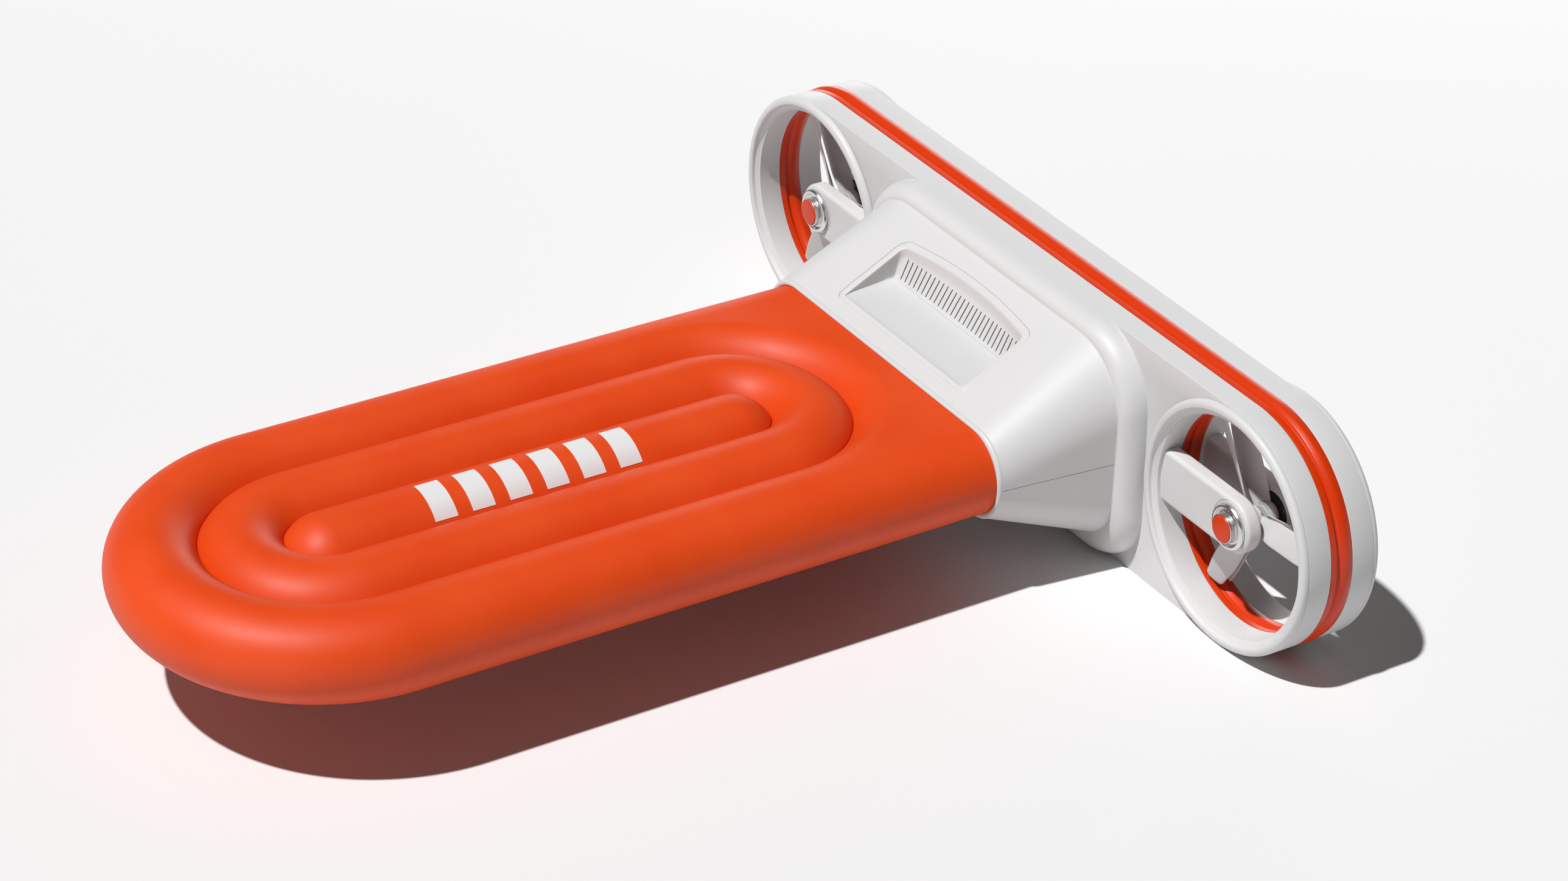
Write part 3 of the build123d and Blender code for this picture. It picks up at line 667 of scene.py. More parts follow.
def grow(name, tree, **values):
    """An object made by the tree, with some inputs changed, as a plain mesh."""
    piece = loose(name, bpy.data.meshes.new(name))
    step = piece.modifiers.new("grow", "NODES")
    step.node_group = tree
    for item in tree.interface.items_tree:
        if item.in_out == "INPUT" and item.name in values:
            step[item.identifier] = values[item.name]
    return bake_modifiers(piece)


# %% Marking tree
bar_tree, given, result = new_tree("marking_bars", {
    "Count": 6, "Pitch": 0.050, "Length": 0.056, "Width": 0.030,
    "Shift": 0.016, "Tube": 0.057, "Film": 0.0004,
})
flat = geo(bar_tree, "GeometryNodeMeshGrid", Size_X=given["Length"], Size_Y=given["Width"],
           Vertices_X=25, Vertices_Y=3)[0]
sideways = geo(bar_tree, "ShaderNodeCombineXYZ", X=given["Shift"])[0]
grid = geo(bar_tree, "GeometryNodeTransform", Geometry=flat, Translation=sideways)[0]
pitch = geo(bar_tree, "ShaderNodeCombineXYZ", Y=given["Pitch"])[0]
row = geo(bar_tree, "GeometryNodeMeshLine", Count=given["Count"], Offset=pitch)[0]
bars = geo(bar_tree, "GeometryNodeInstanceOnPoints", Points=row, Instance=grid)[0]
real = geo(bar_tree, "GeometryNodeRealizeInstances", Geometry=bars)[0]
place = geo(bar_tree, "GeometryNodeInputPosition")[0]
across = geo(bar_tree, "ShaderNodeSeparateXYZ", Vector=place)
radius = maths(bar_tree, "ADD", given["Tube"], given["Film"])
radius_squared = maths(bar_tree, "POWER", radius, 2.0)
across_squared = maths(bar_tree, "POWER", across[0], 2.0)
squared = maths(bar_tree, "SUBTRACT", radius_squared, across_squared)
lift = geo(bar_tree, "ShaderNodeCombineXYZ", Z=maths(bar_tree, "SQRT", squared))[0]
wrapped = geo(bar_tree, "GeometryNodeSetPosition", Geometry=real, Offset=lift)[0]
close_tree(bar_tree, wrapped, white_film, result)

marking_from_bow, film_thickness = 136.0, 0.0003
marking_start = bow_y + marking_from_bow
marking = grow("marking_bars", bar_tree)
placed(marking, lambda p: (p.x, p.y + marking_start, p.z + float_z))
film = marking.modifiers.new("film", "SOLIDIFY")
film.thickness, film.offset = film_thickness, 0.0
bake_modifiers(marking)
slot_finish["white_film"] = white_film
marking.data.materials.clear()
marking.data.materials.append(white_film)
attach(marking, "hull")
print("marking bars:", len(marking.data.polygons), "faces")

# %% [markdown]
# ## The cowl
#
# Two thin shells meet on a level line. Each is a loft between a nearly round-ended outline at
# the float and a taller, rounder-cornered one at the crossbar. A point keeps its place along the
# outline, so the skins run straight from front to rear, as a mould's drafted walls do. A closed
# skin with an inside wall gives the parting line real depth.

# %% Cowl outline
cowl_wall, seam, rim_round = 3.0, 0.35, 56.0
front_half = {"width": rim_high.x, "low": rim_low.z, "high": rim_high.z,
              "low_round": rim_round, "top_round": rim_round}
rear_half = {"width": upper_high.x, "low": lower_low.z, "high": upper_high.z,
             "low_round": 75.0, "top_round": 92.0}
cowl_front_y, cowl_rear_y = upper_low.y, upper_high.y


def mix(a, b, share):
    return a + (b - a) * share


def mixed(outline_a, outline_b, share):
    return {name: mix(outline_a[name], outline_b[name], share) for name in outline_a}


def quarter(centre_x, centre_z, radius, start, steps=14):
    angles = sweep(start, math.pi / 2, steps)
    return [(centre_x + radius * math.cos(a), centre_z + radius * math.sin(a)) for a in angles]


def level_run(half_width, z, steps):
    """Points between two corners, without the corners."""
    return [(half_width * (1 - 2 * k / steps), z) for k in range(1, steps)]


def upper_arch(o, grow_by=0.0):
    """From the parting line on +X, over the top, to the parting line on -X."""
    r, w, high = o["top_round"] + grow_by, o["width"] + grow_by, o["high"] + grow_by
    right_side = quarter(w - r, high - r, r, 0.0)
    half = [(w, axis_z + seam)] + right_side + level_run(w - r, high, 12)
    return half + [(-x, z) for x, z in reversed(right_side)] + [(-w, axis_z + seam)]


def lower_arch(o, grow_by=0.0):
    r, w, low = o["low_round"] + grow_by, o["width"] + grow_by, o["low"] - grow_by
    right_side = [(x, 2 * (low + r) - z) for x, z in quarter(w - r, low + r, r, 0.0)]
    half = [(w, axis_z - seam)] + right_side + level_run(w - r, low, 12)
    return half + [(-x, z) for x, z in reversed(right_side)] + [(-w, axis_z - seam)]


def walled(arch, shares, wall):
    """A shell with an outside, an inside and closed edges."""
    rings = []
    for share in shares:
        y, outline = mix(cowl_front_y, cowl_rear_y, share), mixed(front_half, rear_half, share)
        section = arch(outline) + list(reversed(arch(outline, -wall)))
        rings.append([(x, y, z) for x, z in section])
    count = len(rings[0])
    points, faces = skin(rings)
    for start in (0, (len(rings) - 1) * count):
        for i in range(count // 2 - 1):
            faces.append((start + i, start + i + 1, start + count - 2 - i, start + count - 1 - i))
    return points, faces


cowl_shares = [k / 16 for k in range(17)]
upper_shell = loose("cowl_top", weld("cowl_top", walled(upper_arch, cowl_shares, cowl_wall)))
lower_shell = loose("cowl_bottom", weld("cowl_bottom", walled(lower_arch, cowl_shares, cowl_wall)))

# %% [markdown]
# ## The scoop in the roof
#
# A separate moulding drops into the roof and forms a pocket for cooling air. Its mouth lies in
# the roof, its floor is nearly level, its side walls are upright, and its slotted back wall
# leans back under a steep, rounded band. The rings below go from the seam, over the mouth's
# soft edge, down the walls and across the floor. Each point of a ring has the same part of the
# outline as its neighbour above it.

# %% Scoop outline
roof_slope = (rear_half["high"] - front_half["high"]) / (cowl_rear_y - cowl_front_y)
foot_y, floor_z, floor_slope, floor_middle_y = -137.0, 237.0, 0.072, -173.5
band = 0.27                      # the steep band's share of the back wall's height


def roof_z(y):
    return front_half["high"] + (y - cowl_front_y) * roof_slope


def scoop_ring(half_width, front_y, side_y, bow, front_round, rear_round):
    """A rounded rectangle in plan whose rear edge bows away; every ring has the same count of points."""
    def between(start, end, steps):
        return [(mix(start[0], end[0], k / steps), mix(start[1], end[1], k / steps)) for k in range(1, steps)]

    rear_x, front_x = half_width - rear_round, half_width - front_round
    rear_right = quarter(rear_x, side_y - rear_round, rear_round, 0, 8)
    rear_left = quarter(-rear_x, side_y - rear_round, rear_round, math.pi / 2, 8)
    front_left = quarter(-front_x, front_y + front_round, front_round, math.pi, 8)
    front_right = quarter(front_x, front_y + front_round, front_round, 3 * math.pi / 2, 8)
    ring = rear_right + between(rear_right[-1], rear_left[0], 36) + rear_left
    ring += between(rear_left[-1], front_left[0], 9) + front_left
    ring += between(front_left[-1], front_right[0], 36) + front_right
    ring += between(front_right[-1], rear_right[0], 9)
    middle_y = (front_y + side_y) / 2
    curve = []
    for x, y in ring:
        share = max(0.0, (y - middle_y) / (side_y - middle_y))
        curve.append((x, y + bow * share * share * (1 - (x / half_width) ** 2)))
    return curve


mouth = scoop_ring(134.0, -211.5, -123.0, 10.5, 4.0, 8.0)


def seam_ring(out=0.0):
    return scoop_ring(143.5 + out, -218.0 - out, -115.0 + out, 11.5, 9.0, 13.0)


def spread(ring, out):
    """The ring moved outwards by a distance, along its own normals."""
    moved = []
    for index, (x, y) in enumerate(ring):
        before, after = ring[index - 1], ring[(index + 1) % len(ring)]
        along = Vector((after[0] - before[0], after[1] - before[1])).normalized()
        moved.append((x + along.y * out, y - along.x * out))
    return moved


def floor_height(y):
    return floor_z + (y - foot_y) * floor_slope


def pocket_point(x, y, down):
    """A point of the pocket's wall: down is 0 at the mouth and 1 at the floor."""
    foot = min(y, foot_y)
    top, bottom = roof_z(y), floor_height(foot)
    if down < band:
        slide = 0.10 * down / band
    else:
        slide = 0.10 + 0.90 * (down - band) / (1 - band)
    return x, mix(y, foot, slide), mix(top, bottom, down)


# %% Scoop skin
edge_round, edge_drop = 2.6, 0.05


def mouth_drop(y):
    """How far the mouth's rounded edge may fall before it meets the floor."""
    return min(edge_round, roof_z(y) - floor_height(y) - 1.0)


under = [(x, y, floor_height(y) - 3.5) for x, y in seam_ring(-3.0)]
scoop_rings = [under, [(x, y, min(roof_z(y) - 2.6, floor_height(y) + 8)) for x, y in seam_ring(-3.0)]]
scoop_rings.append([(x, y, roof_z(y) - 2.6) for x, y in seam_ring()])
scoop_rings.append([(x, y, roof_z(y) - 0.35) for x, y in seam_ring()])
scoop_rings.append([(x, y, roof_z(y) - edge_drop) for x, y in seam_ring(-0.35)])
for step in range(6):
    a = math.pi / 2 * step / 5
    out = edge_round * (1 - math.sin(a))
    scoop_rings.append([
        (x, y, roof_z(y) - edge_drop - mouth_drop(y) * (1 - math.cos(a)))
        for x, y in spread(mouth, out)
    ])
for down in (0.14, 0.2, 0.26, 0.32, 0.42, 0.54, 0.66, 0.78, 0.88):
    ring = []
    for x, y in mouth:
        edge_z = roof_z(y) - edge_drop - mouth_drop(y)
        top = (edge_z - floor_height(y)) / (roof_z(y) - floor_height(y))
        ring.append(pocket_point(x, y, 1 - top * (1 - down)))
    scoop_rings.append(ring)
foot_ring = [(x, min(y, foot_y)) for x, y in mouth]
for step in range(1, 6):
    a = math.pi / 2 * step / 5
    share = 0.075 * (1 - math.cos(a))
    rise = 4.0 * (1 - math.sin(a))
    ring = []
    for x, y in foot_ring:
        low = floor_height(y)
        height = low + min(rise, 0.3 * (roof_z(y) - low))
        ring.append((x * (1 - share), mix(y, floor_middle_y, share), height))
    scoop_rings.append(ring)
for share in (0.25, 0.55, 0.85):
    ring = [(x * (1 - share), mix(y, floor_middle_y, share)) for x, y in foot_ring]
    scoop_rings.append([(x, y, floor_height(y)) for x, y in ring])
scoop = loose("scoop_insert", weld("scoop_insert", skin(scoop_rings, capped=True)))

# %% Cut the roof for the scoop
opening = skin([[(x, y, z) for x, y in seam_ring(0.3)] for z in (180.0, 400.0)], capped=True)
cut(upper_shell, loose("opening", weld("opening", opening)))
complete(upper_shell, "white_plastic", stands_for=["cowl_upper_shell"])
complete(lower_shell, "white_plastic", stands_for=["cowl_lower_shell"])

# %% [markdown]
# ## Slots, made once and used twice
#
# The scoop's back wall and the motor arms both have a row of narrow vents. One tree makes the
# shape to cut away: a rounded bar, repeated along a line that may bow and lean. The same tree,
# with other numbers, makes the long vents of the scoop and the short ones of the arms. The cut
# takes on the scoop. On the arms it has no effect yet, so their tops come out plain.

# %% Slot tree
slot_tree, given, result = new_tree("slot_row", {
    "Count": 27, "Pitch": 0.00935, "Width": 0.0021, "Length": 0.028, "Depth": 0.020, "Bow": 0.0, "Lean": 0.0,
})
core = maths(slot_tree, "SUBTRACT", given["Length"], given["Width"])
half_width = maths(slot_tree, "DIVIDE", given["Width"], 2.0)
round_bar = geo(slot_tree, "GeometryNodeMeshCylinder", Vertices=16, Radius=half_width,
                Depth=given["Depth"])[0]
on_side = geo(slot_tree, "GeometryNodeTransform", Geometry=round_bar, Rotation=(math.pi / 2, 0, 0))[0]
height = geo(slot_tree, "ShaderNodeSeparateXYZ", Vector=geo(slot_tree, "GeometryNodeInputPosition")[0])[2]
upper = geo(slot_tree, "FunctionNodeCompare", {"operation": "GREATER_THAN"}, A=height, B=0.00002)[0]
lower = geo(slot_tree, "FunctionNodeCompare", {"operation": "LESS_THAN"}, A=height, B=-0.00002)[0]
half_core = maths(slot_tree, "DIVIDE", core, 2.0)
stretched = on_side
for chosen, sign in ((upper, 1.0), (lower, -1.0)):
    shift = geo(slot_tree, "ShaderNodeCombineXYZ", Z=maths(slot_tree, "MULTIPLY", half_core, sign))[0]
    stretched = geo(
        slot_tree, "GeometryNodeSetPosition", Geometry=stretched, Selection=chosen, Offset=shift
    )[0]
lean = geo(slot_tree, "ShaderNodeCombineXYZ", X=given["Lean"])[0]
leaning = geo(slot_tree, "GeometryNodeTransform", Geometry=stretched, Rotation=lean)[0]
span = maths(slot_tree, "MULTIPLY", given["Pitch"], maths(slot_tree, "SUBTRACT", given["Count"], 1.0))
start = geo(slot_tree, "ShaderNodeCombineXYZ", X=maths(slot_tree, "DIVIDE", span, -2.0))[0]
offset = geo(slot_tree, "ShaderNodeCombineXYZ", X=given["Pitch"])[0]
line = geo(slot_tree, "GeometryNodeMeshLine", Count=given["Count"], Start_Location=start, Offset=offset)[0]
at = geo(slot_tree, "ShaderNodeSeparateXYZ", Vector=geo(slot_tree, "GeometryNodeInputPosition")[0])
half_span = maths(slot_tree, "DIVIDE", span, 2.0)
share = maths(slot_tree, "POWER", maths(slot_tree, "DIVIDE", at[0], half_span), 2.0)
bow_here = maths(slot_tree, "MULTIPLY", given["Bow"], maths(slot_tree, "SUBTRACT", 1.0, share))
bowed = geo(slot_tree, "ShaderNodeCombineXYZ", Y=bow_here)[0]
curved = geo(slot_tree, "GeometryNodeSetPosition", Geometry=line, Offset=bowed)[0]
row_of_slots = geo(slot_tree, "GeometryNodeInstanceOnPoints", Points=curved, Instance=leaning)[0]
close_tree(slot_tree, row_of_slots, dark_plastic, result)

# %% Cut the scoop's vents
vents = grow("vents", slot_tree, Bow=0.0045, Length=0.0290, Lean=-math.radians(28))
vent_y, vent_z = -127.5, 253.0
cut(scoop, placed(vents, lambda p: (p.x, p.y + vent_y, p.z + vent_z)))
complete(scoop, "white_plastic", stands_for=["vent_insert"])

# %% [markdown]
# ## The bezel round the float
#
# A soft white ring closes the cowl round the float. Its section is a small bead that rolls from
# the cowl's outside over a rounded front and in to the float's skin. The outside follows the
# cowl's corners and the inside follows the float's, so each station mixes the two.

# %% Bezel
corner_lift, bezel_bite = 5.0, 0.3


def bezel_ring(inward, y):
    """An outline between the cowl's corners and the float's, which it bites into a little."""
    cowl_corner = quarter(rim_high.x - rim_round, corner_lift, rim_round, 0.0)
    float_corner = [
        (outer_crest + (outer_width - bezel_bite) * math.cos(a), (seated_height - bezel_bite) * math.sin(a))
        for a in sweep(0.0, math.pi / 2, 14)
    ]
    corner = [(mix(p[0], q[0], inward), mix(p[1], q[1], inward)) for p, q in zip(cowl_corner, float_corner)]
    ring = corner + [(-x, z) for x, z in reversed(corner)]
    ring += [(-x, -z) for x, z in corner] + [(x, -z) for x, z in reversed(corner)]
    return [(x, y, float_z + z) for x, z in ring]


bezel_steps = [(1.0, 3.0), (1.0, -3.0), (0.96, -4.6), (0.85, -5.6), (0.66, -6.1), (0.45, -6.0), (0.24, -5.2),
               (0.09, -3.9), (0.02, -2.3), (0.0, -1.0), (0.0, 0.02), (0.3, 0.02), (0.3, 3.0)]
bezel = weld("bezel", skin([bezel_ring(inward, rim_high.y + y) for inward, y in bezel_steps], looped=True))
complete(loose("bezel", bezel), "white_plastic", stands_for=["cowl_front_rim"], crease=60)

# %% [markdown]
# ## The crossbar's shells
#
# Each shell is a flat plate as deep as its half of the bar, with a duct's bore through each end.
# Outline and holes are drawn as loops, filled, drawn out to depth and given softened edges. The
# rear shell also has plain holes for the screws, the button and the socket.

# %% Plates with holes
def circle(x, z, radius, steps=96):
    angles = [2 * math.pi * k / steps for k in range(steps)]
    return [(x + radius * math.cos(a), z + radius * math.sin(a)) for a in angles]


def bar_outline(radius, steps=72):
    port_end = sweep(-math.pi / 2, math.pi, steps)
    right_end = [(duct_x + radius * math.cos(a), axis_z + radius * math.sin(a)) for a in port_end]
    return right_end + [(-x, z) for x, z in reversed(right_end)]


def plate(name, outlines, y_from, y_to, edge, steps=4):
    """A filled outline with holes and round edges. Each outline is a loop as a function of its inset."""
    turns = sweep(0.0, math.pi / 2, steps)
    sign = 1 if y_to > y_from else -1
    stations = [(y_from + sign * edge * (1 - math.cos(a)), edge * (1 - math.sin(a))) for a in turns]
    stations += [(y_to - sign * edge * (1 - math.cos(a)), edge * (1 - math.sin(a))) for a in reversed(turns)]
    skins = [skin([[(x, y, z) for x, z in outline(inset)] for y, inset in stations]) for outline in outlines]
    for y in (y_from, y_to):
        shape = bmesh.new()
        edges = []
        for outline in outlines:
            corners = [shape.verts.new((x, y, z)) for x, z in outline(edge)]
            edges += [shape.edges.new((a, b)) for a, b in zip(corners, corners[1:] + corners[:1])]
        bmesh.ops.triangle_fill(shape, use_beauty=True, use_dissolve=False, edges=edges)
        shape.verts.index_update()
        faces = [tuple(v.index for v in f.verts) for f in shape.faces]
        skins.append(([tuple(v.co) for v in shape.verts], faces))
        shape.free()
    return loose(name, weld(name, *skins))


def hole(x, z, radius, steps):
    return lambda inset: circle(x, z, radius + inset, steps)


def outside(inset):
    return bar_outline(duct_r - inset)


bores = [hole(side * duct_x, axis_z, bore_r, 96) for side in sides.values()]
shell_gap, shell_edge = 0.25, 0.8
front_shell = plate("crossbar_front", [outside, *bores], -bar_face, -band_face - shell_gap, shell_edge)

button_low, button_high = size_box("power_button")
socket_low, socket_high = size_box("charge_socket")
button_x, button_r, button_gap = (button_low.x + button_high.x) / 2, 10.0, 0.3
socket_x, socket_r = (socket_low.x + socket_high.x) / 2, (socket_high.x - socket_low.x) / 2
screw_x, screw_z, screw_hole_r = (290.0, 150.0, -150.0, -290.0), (26.0, 294.0), 4.1
holes = [hole(x, z, screw_hole_r, 24) for x in screw_x for z in screw_z]
holes += [hole(button_x, axis_z, button_r + button_gap, 48), hole(socket_x, axis_z, socket_r, 48)]
rear_shell = plate("crossbar_rear", [outside, *bores, *holes], band_face + shell_gap, bar_face, shell_edge)

# %% [markdown]
# The collar is moulded with the front shell. It is a fat roll that starts at the cowl's rear
# edge, swells out quickly and meets the crossbar's face square on, so that a dark line is left
# along both sides. On top it runs flush into the crossbar's upper side. A quarter of an ellipse
# gives that swell.

# %% Collar
collar_step, collar_taper = 0.9, 0.018
collar_start = {"width": rear_half["width"] + collar_step, "low": rear_half["low"] - collar_step,
                "high": rear_half["high"] + collar_step, "low_round": 75.9, "top_round": 92.9}
collar_end = {"width": 300.0, "low": 1.2, "high": 2 * duct_r, "low_round": 84.0, "top_round": 96.0}


def full_ring(o, y, taper=0.0):
    """A closed outline that may be a little wider at the bottom than at the top."""
    r, w, high = o["top_round"], o["width"], o["high"]
    corner = quarter(w - r, high - r, r, 0.0, 20)
    top = corner + level_run(w - r, high, 24) + [(-x, z) for x, z in reversed(corner)]
    s, low = o["low_round"], o["low"]
    under = [(x, 2 * (low + s) - z) for x, z in quarter(w - s, low + s, s, 0.0, 20)]
    bottom = [(-x, z) for x, z in under] + level_run(-(w - s), low, 24) + list(reversed(under))
    ring = top + [(-w, axis_z)] + bottom + [(w, axis_z)]
    return [(x * (1 - taper * (z - axis_z) / axis_z), y, z) for x, z in ring]


def tucked(tuck):
    """The collar's first outline, drawn in by a distance."""
    return {**collar_start, "width": collar_start["width"] - tuck, "low": collar_start["low"] + tuck,
            "high": collar_start["high"] - tuck}


collar_depth = -bar_face - cowl_rear_y
collar_rings = [full_ring(tucked(6), cowl_rear_y - 0.2)]
for step in range(3):
    a = math.pi / 2 * step / 2
    tuck = collar_step * (1 - math.sin(a))
    collar_rings.append(full_ring(tucked(tuck), cowl_rear_y - 0.2 + collar_step * (1 - math.cos(a))))
for step in range(1, 25):
    angle = math.pi / 2 * step / 24
    swell, depth = math.sin(angle), 1 - math.cos(angle)
    section = mixed(collar_start, collar_end, swell)
    y = cowl_rear_y + 0.7 + (collar_depth - 0.7) * depth
    collar_rings.append(full_ring(section, y, collar_taper * swell))
collar_rings.append(full_ring({**collar_end, "high": collar_end["high"] + 0.03}, -bar_face + 6, collar_taper))
collar = weld("collar", skin(collar_rings, capped=True))
merge_into(front_shell.data, front_shell.data, collar)
complete(front_shell, "white_plastic", stands_for=["bar_front_shell"], crease=38)

# %% [markdown]
# ## The coloured band
#
# The middle frame shows as a stripe round the whole crossbar and again inside each bore. In
# front it is flush with the shells. Behind a narrow groove its flank swells up like a cord, and
# that swelling catches the light. One section is swept round the crossbar's outline and, turned
# inside out, round each bore.

# %% Band section
band_edge = band_face - shell_gap
band_profile = rounded([
    (-band_edge, 0.0, 0.5), (-7.6, 0.0, 1.2), (-5.2, -3.6, 0.8), (-2.6, -3.8, 0.8), (-0.4, -0.9, 3.5),
    (5.5, 1.7, 9.0), (11.0, 1.0, 6.0), (band_edge, 0.0, 0.6), (band_edge, -9.0, 0.3), (-band_edge, -9.0, 0.3),
], 6)


def swept_round_bar(profile, radius, name, steps=72):
    """A section of (depth, height above the surface) swept round the crossbar's outline."""
    rings = []
    for side, start in ((1, -math.pi / 2), (-1, math.pi / 2)):
        for a in sweep(start, math.pi, steps):
            rings.append([
                (side * duct_x + (radius + h) * math.cos(a), y, axis_z + (radius + h) * math.sin(a))
                for y, h in profile
            ])
    return weld(name, skin(rings, looped=True))


def turned(profile, centre_x, name, steps=96, closed=True, end=1):
    """A section of (radius, depth) turned round a duct's axis; an open one starts and ends on it."""
    rings = []
    for k in range(steps):
        a = 2 * math.pi * k / steps
        rings.append([(centre_x + r * math.cos(a), end * y, axis_z + r * math.sin(a)) for r, y in profile])
    return weld(name, skin(rings, ring_closed=closed, looped=True))


band_parts = [swept_round_bar(band_profile, duct_r, "band_outside")]
for side in sides.values():
    band_parts.append(turned([(bore_r - h, y) for y, h in band_profile], side * duct_x, "band_inside"))
band_mesh = merge_into(bpy.data.meshes.new("crossbar_band"), *band_parts)
complete(loose("crossbar_band", band_mesh), "orange_plastic", stands_for=["bar_middle_frame"], crease=38)

# %% [markdown]
# ## Duct lips
#
# A fat rounded ring finishes each mouth. Outside it continues the duct's wall past a hairline
# seam, rolls over a full crest and ends in a crisp inner edge. Inside that edge a short cone
# leads the water into the bore.

# %% Lips
lip_section = rounded([
    (duct_r - 0.9, bar_face + 0.15, 0.2), (duct_r, bar_face + 0.6, 0.4), (duct_r, lip_front - 0.4, 6.6),
    (148.6, lip_front + 0.2, 3.6), (147.2, bar_face + 3.6, 0.5), (bore_r + 0.15, bar_face - 1.0, 0.4),
    (bore_r + 0.15, bar_face - 4.0, 0.2), (bore_r + 3.0, bar_face - 4.0, 0.2),
    (bore_r + 3.0, bar_face + 0.15, 0.2),
], 7)
for side_name, side in sides.items():
    for end_name, end in ends.items():
        place = f"{side_name}_{end_name}"
        lip = turned(lip_section, side * duct_x, f"{place}_lip", 128, end=end)
        complete(loose(lip.name, lip), "white_plastic", stands_for=[f"{place}_duct_lip"], crease=40)

# %% [markdown]
# ## Motor arms
#
# A flat arm reaches from the bore's inner wall to the hub and ends in a half circle. Its edges
# are generously rounded. A fine ring is cut round the hub, and the motor sits in a pocket on the
# inner side. The real arm also has a row of short vents along its top: they are made here, but
# cutting them has no effect yet.

# %% Arm
arm_low, arm_high = size_box("port_front_motor_arm")
arm_near, arm_far = -arm_high.y, -arm_low.y - 1.0
arm_half = (arm_high.z - arm_low.z) / 2
vents_inboard = 68.5             # from the duct's axis to the middle of the row of vents


def make_arm(name, side, end):
    root = -side * (bore_r + 1.5)
    tip = sweep(-math.pi / 2, math.pi, 40)

    def outline(inset):
        half = arm_half - inset
        loop = [(side * half * math.cos(a), half * math.sin(a)) for a in tip] + [(root, half), (root, -half)]
        return [(side * duct_x + x, axis_z + z) for x, z in loop]

    arm = plate(name, [outline], end * arm_near, end * arm_far, 5.5, 6)
    pocket = turned([(28.0, arm_near - 4), (28.0, arm_far - 4), (0, arm_far - 4), (0, arm_near - 4)],
                    side * duct_x, "pocket", 72, closed=True, end=end)
    cut(arm, loose("pocket", pocket))
    groove = turned([(32.6, arm_far - 0.9), (33.5, arm_far - 0.9), (33.5, arm_far + 2), (32.6, arm_far + 2)],
                    side * duct_x, "groove", 96, end=end)
    cut(arm, loose("groove", groove))
    row = grow("arm_vents", slot_tree, Count=28, Pitch=0.0044, Width=0.0014, Length=0.012, Depth=0.006)
    row_x, row_y = side * (duct_x - vents_inboard), end * (arm_near + arm_far) / 2
    return cut(arm, placed(row, lambda p: (row_x + p.x, row_y + p.z, axis_z + arm_half + p.y)))


for side_name, side in sides.items():
    for end_name, end in ends.items():
        arm = make_arm(f"{side_name}_{end_name}_arm", side, end)
        complete(arm, "white_plastic", stands_for=[f"{side_name}_{end_name}_motor_arm"], crease=38)

# %% [markdown]
# ## Rotors
#
# Hub collar, nose, end cap, motor bell and propeller turn together. The metal pieces are turned
# sections with real steps and recesses, because polished metal shows every edge. A blade is a
# loft through thin wing sections that twist from root to tip, with a squared, round-cornered tip.

# %% Hub collar, cap and bell
cap_front = -size_box("port_front_end_cap")[0].y
collar_section = rounded([
    (5.0, arm_far + 0.6, 0), (29.6, arm_far + 0.6, 0.3), (29.9, arm_far + 3.6, 0.8),
    (28.2, arm_far + 6.2, 1.4), (25.4, arm_far + 6.6, 0.8), (24.0, arm_far + 4.0, 0.8),
    (22.6, arm_far + 2.4, 0.5), (19.6, arm_far + 2.4, 0.5), (19.4, arm_far + 5.4, 0.3),
    (18.9, arm_far + 5.9, 0.3), (18.9, cap_front - 1.4, 0.7), (17.7, cap_front - 1.2, 0.3),
    (17.7, cap_front - 4.0, 0), (5.0, cap_front - 4.0, 0),
], 5)
cap_section = rounded([
    (0.0, cap_front - 3.4, 0), (17.5, cap_front - 3.4, 0.2),
    (17.5, cap_front, 1.5), (0.0, cap_front + 0.1, 0),
], 6, closed=False)
bell_back = arm_near - 1.4
bell_section = rounded([
    (5.0, bell_back, 0), (24.0, bell_back, 0.6), (26.0, bell_back + 2.0, 0.8), (26.0, bell_back + 4.0, 0.2),
    (25.2, bell_back + 4.5, 0.2), (25.2, bell_back + 5.3, 0.2), (26.0, bell_back + 5.8, 0.2),
    (26.0, bell_back + 17.0, 0.4), (22.4, bell_back + 17.0, 0.4), (22.4, bell_back + 3.0, 0.2),
    (5.0, bell_back + 3.0, 0),
], 4)

# %% Propeller
blade_stations = [                # radius, chord, pitch in degrees, thickness
    (12.0, 22.0, 40.0, 4.6), (50.0, 31.0, 31.0, 3.9), (92.0, 33.0, 24.0, 3.2), (134.0, 26.0, 19.0, 2.6),
]
first_blade, plane_gap = 3, 10.5


def blade_at(radius):
    """Chord, twist and thickness at a radius, from a smooth curve through the stations."""
    for (r0, c0, p0, t0), (r1, c1, p1, t1) in zip(blade_stations, blade_stations[1:]):
        if radius <= r1:
            share = (radius - r0) / (r1 - r0)
            ease = share * share * (3 - 2 * share)
            return mix(c0, c1, ease), mix(p0, p1, share), mix(t0, t1, share)
    return blade_stations[-1][1:]


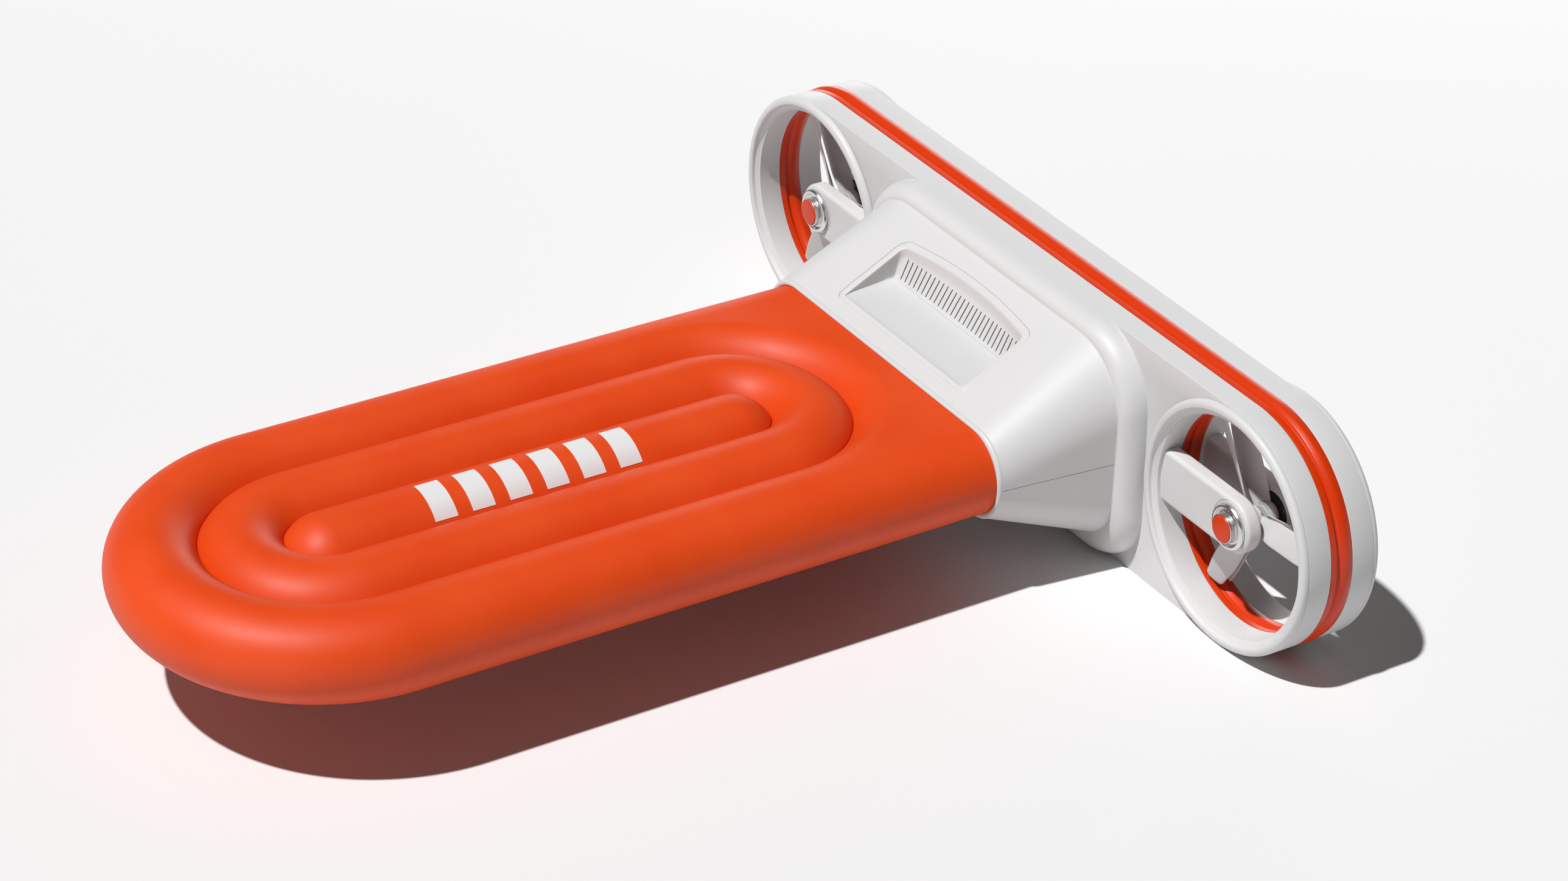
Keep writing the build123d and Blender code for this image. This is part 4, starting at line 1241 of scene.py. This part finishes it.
def blade_skin(hand, first_angle, centre_x, plane_y):
    tip_r, tip_round = blade_stations[-1][0], 7.0
    radii = [blade_stations[0][0] + 5.0 * k for k in range(23)]
    radii += [tip_r - tip_round * (1 - math.sin(a)) for a in sweep(0, math.pi / 2, 6)]
    rings = []
    for radius in radii:
        chord, pitch, thickness = blade_at(radius)
        inset = max(0.0, radius - (tip_r - tip_round))
        chord -= 2 * (tip_round - math.sqrt(max(0.0, tip_round ** 2 - inset ** 2)))
        thickness *= 1 - 0.55 * (inset / tip_round) ** 4
        lean = math.radians(pitch)
        ring = []
        for k in range(24):
            a = 2 * math.pi * k / 24
            across = chord / 2 * math.cos(a)
            up = thickness / 2 * math.copysign(abs(math.sin(a)) ** 0.8, math.sin(a))
            flow = across * math.sin(lean) * hand + up * math.cos(lean)
            side_way = across * math.cos(lean) - up * math.sin(lean) * hand
            turn_by = math.radians(first_angle)
            x = radius * math.cos(turn_by) - side_way * math.sin(turn_by)
            z = radius * math.sin(turn_by) + side_way * math.cos(turn_by)
            ring.append((centre_x + x, plane_y + flow, axis_z + z))
        rings.append(ring)
    return skin(rings, capped=True)


hub_section = rounded([
    (0.0, 4.5, 0), (13.0, 4.5, 0.8), (13.0, 6.0, 0.4), (18.0, 6.0, 0.9), (18.0, 14.6, 0.9), (15.6, 14.6, 0.4),
    (15.6, bell_back - 0.3, 0.5), (0.0, bell_back - 0.3, 0),
], 4, closed=False)

for side_name, side in sides.items():
    for end_name, end in ends.items():
        place, body, x = f"{side_name}_{end_name}", f"{side_name}_{end_name}_rotor", side * duct_x
        ring = turned(collar_section, x, f"{place}_collar", 96, end=end)
        complete(loose(ring.name, ring), "bright_metal", body, [f"{place}_hub_collar"], crease=30)
        cap = turned(cap_section, x, f"{place}_cap", 72, closed=False, end=end)
        complete(loose(cap.name, cap), "orange_plastic", body, [f"{place}_end_cap"], crease=40)
        bell = turned(bell_section, x, f"{place}_bell", 96, end=end)
        complete(loose(bell.name, bell), "black_metal", body, [f"{place}_motor_bell"], crease=30)
        blades = [blade_skin(-end, first_blade + 120 * k, x, end * plane_gap) for k in range(3)]
        hub = turned(hub_section, x, "hub", 72, closed=False, end=end)
        screw = merge_into(bpy.data.meshes.new(f"{place}_screw"), hub, weld("blades", *blades))
        complete(loose(screw.name, screw), "propeller_plastic", body, [f"{place}_propeller"], crease=38)

# %% [markdown]
# ## Last pieces
#
# The frame's button, flap and valve bodies have the right shape already and only need softened
# edges, so each is a merged copy with a small bevel. The socket, the hinge pin and the screws
# stay as the frame made them. The rear shell gets its finish here too.

# %% Softened copies of small nodes
def softened_copy(node_name, width):
    """A merged copy of a frame node with softened edges, in place of the node."""
    shape = bmesh.new()
    shape.from_mesh(frame["nodes"][node_name].data)
    bmesh.ops.remove_doubles(shape, verts=shape.verts, dist=0.002 * mm)
    bmesh.ops.dissolve_limit(shape, angle_limit=math.radians(0.5), verts=shape.verts, edges=shape.edges)
    mesh = bpy.data.meshes.new(f"{node_name}_soft")
    shape.to_mesh(mesh)
    shape.free()
    body = frame["nodes"][node_name]["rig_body"]
    piece = soften_edges(loose(f"{node_name}_soft", mesh), width, 2, 45)
    return complete(piece, node_slot[node_name], body, [node_name], crease=35)


for node_name, width in (("power_button", 0.5), ("charge_flap", 0.4), ("valve_bodies", 0.4)):
    softened_copy(node_name, width)
complete(rear_shell, "white_plastic", stands_for=["bar_rear_shell"], crease=38)
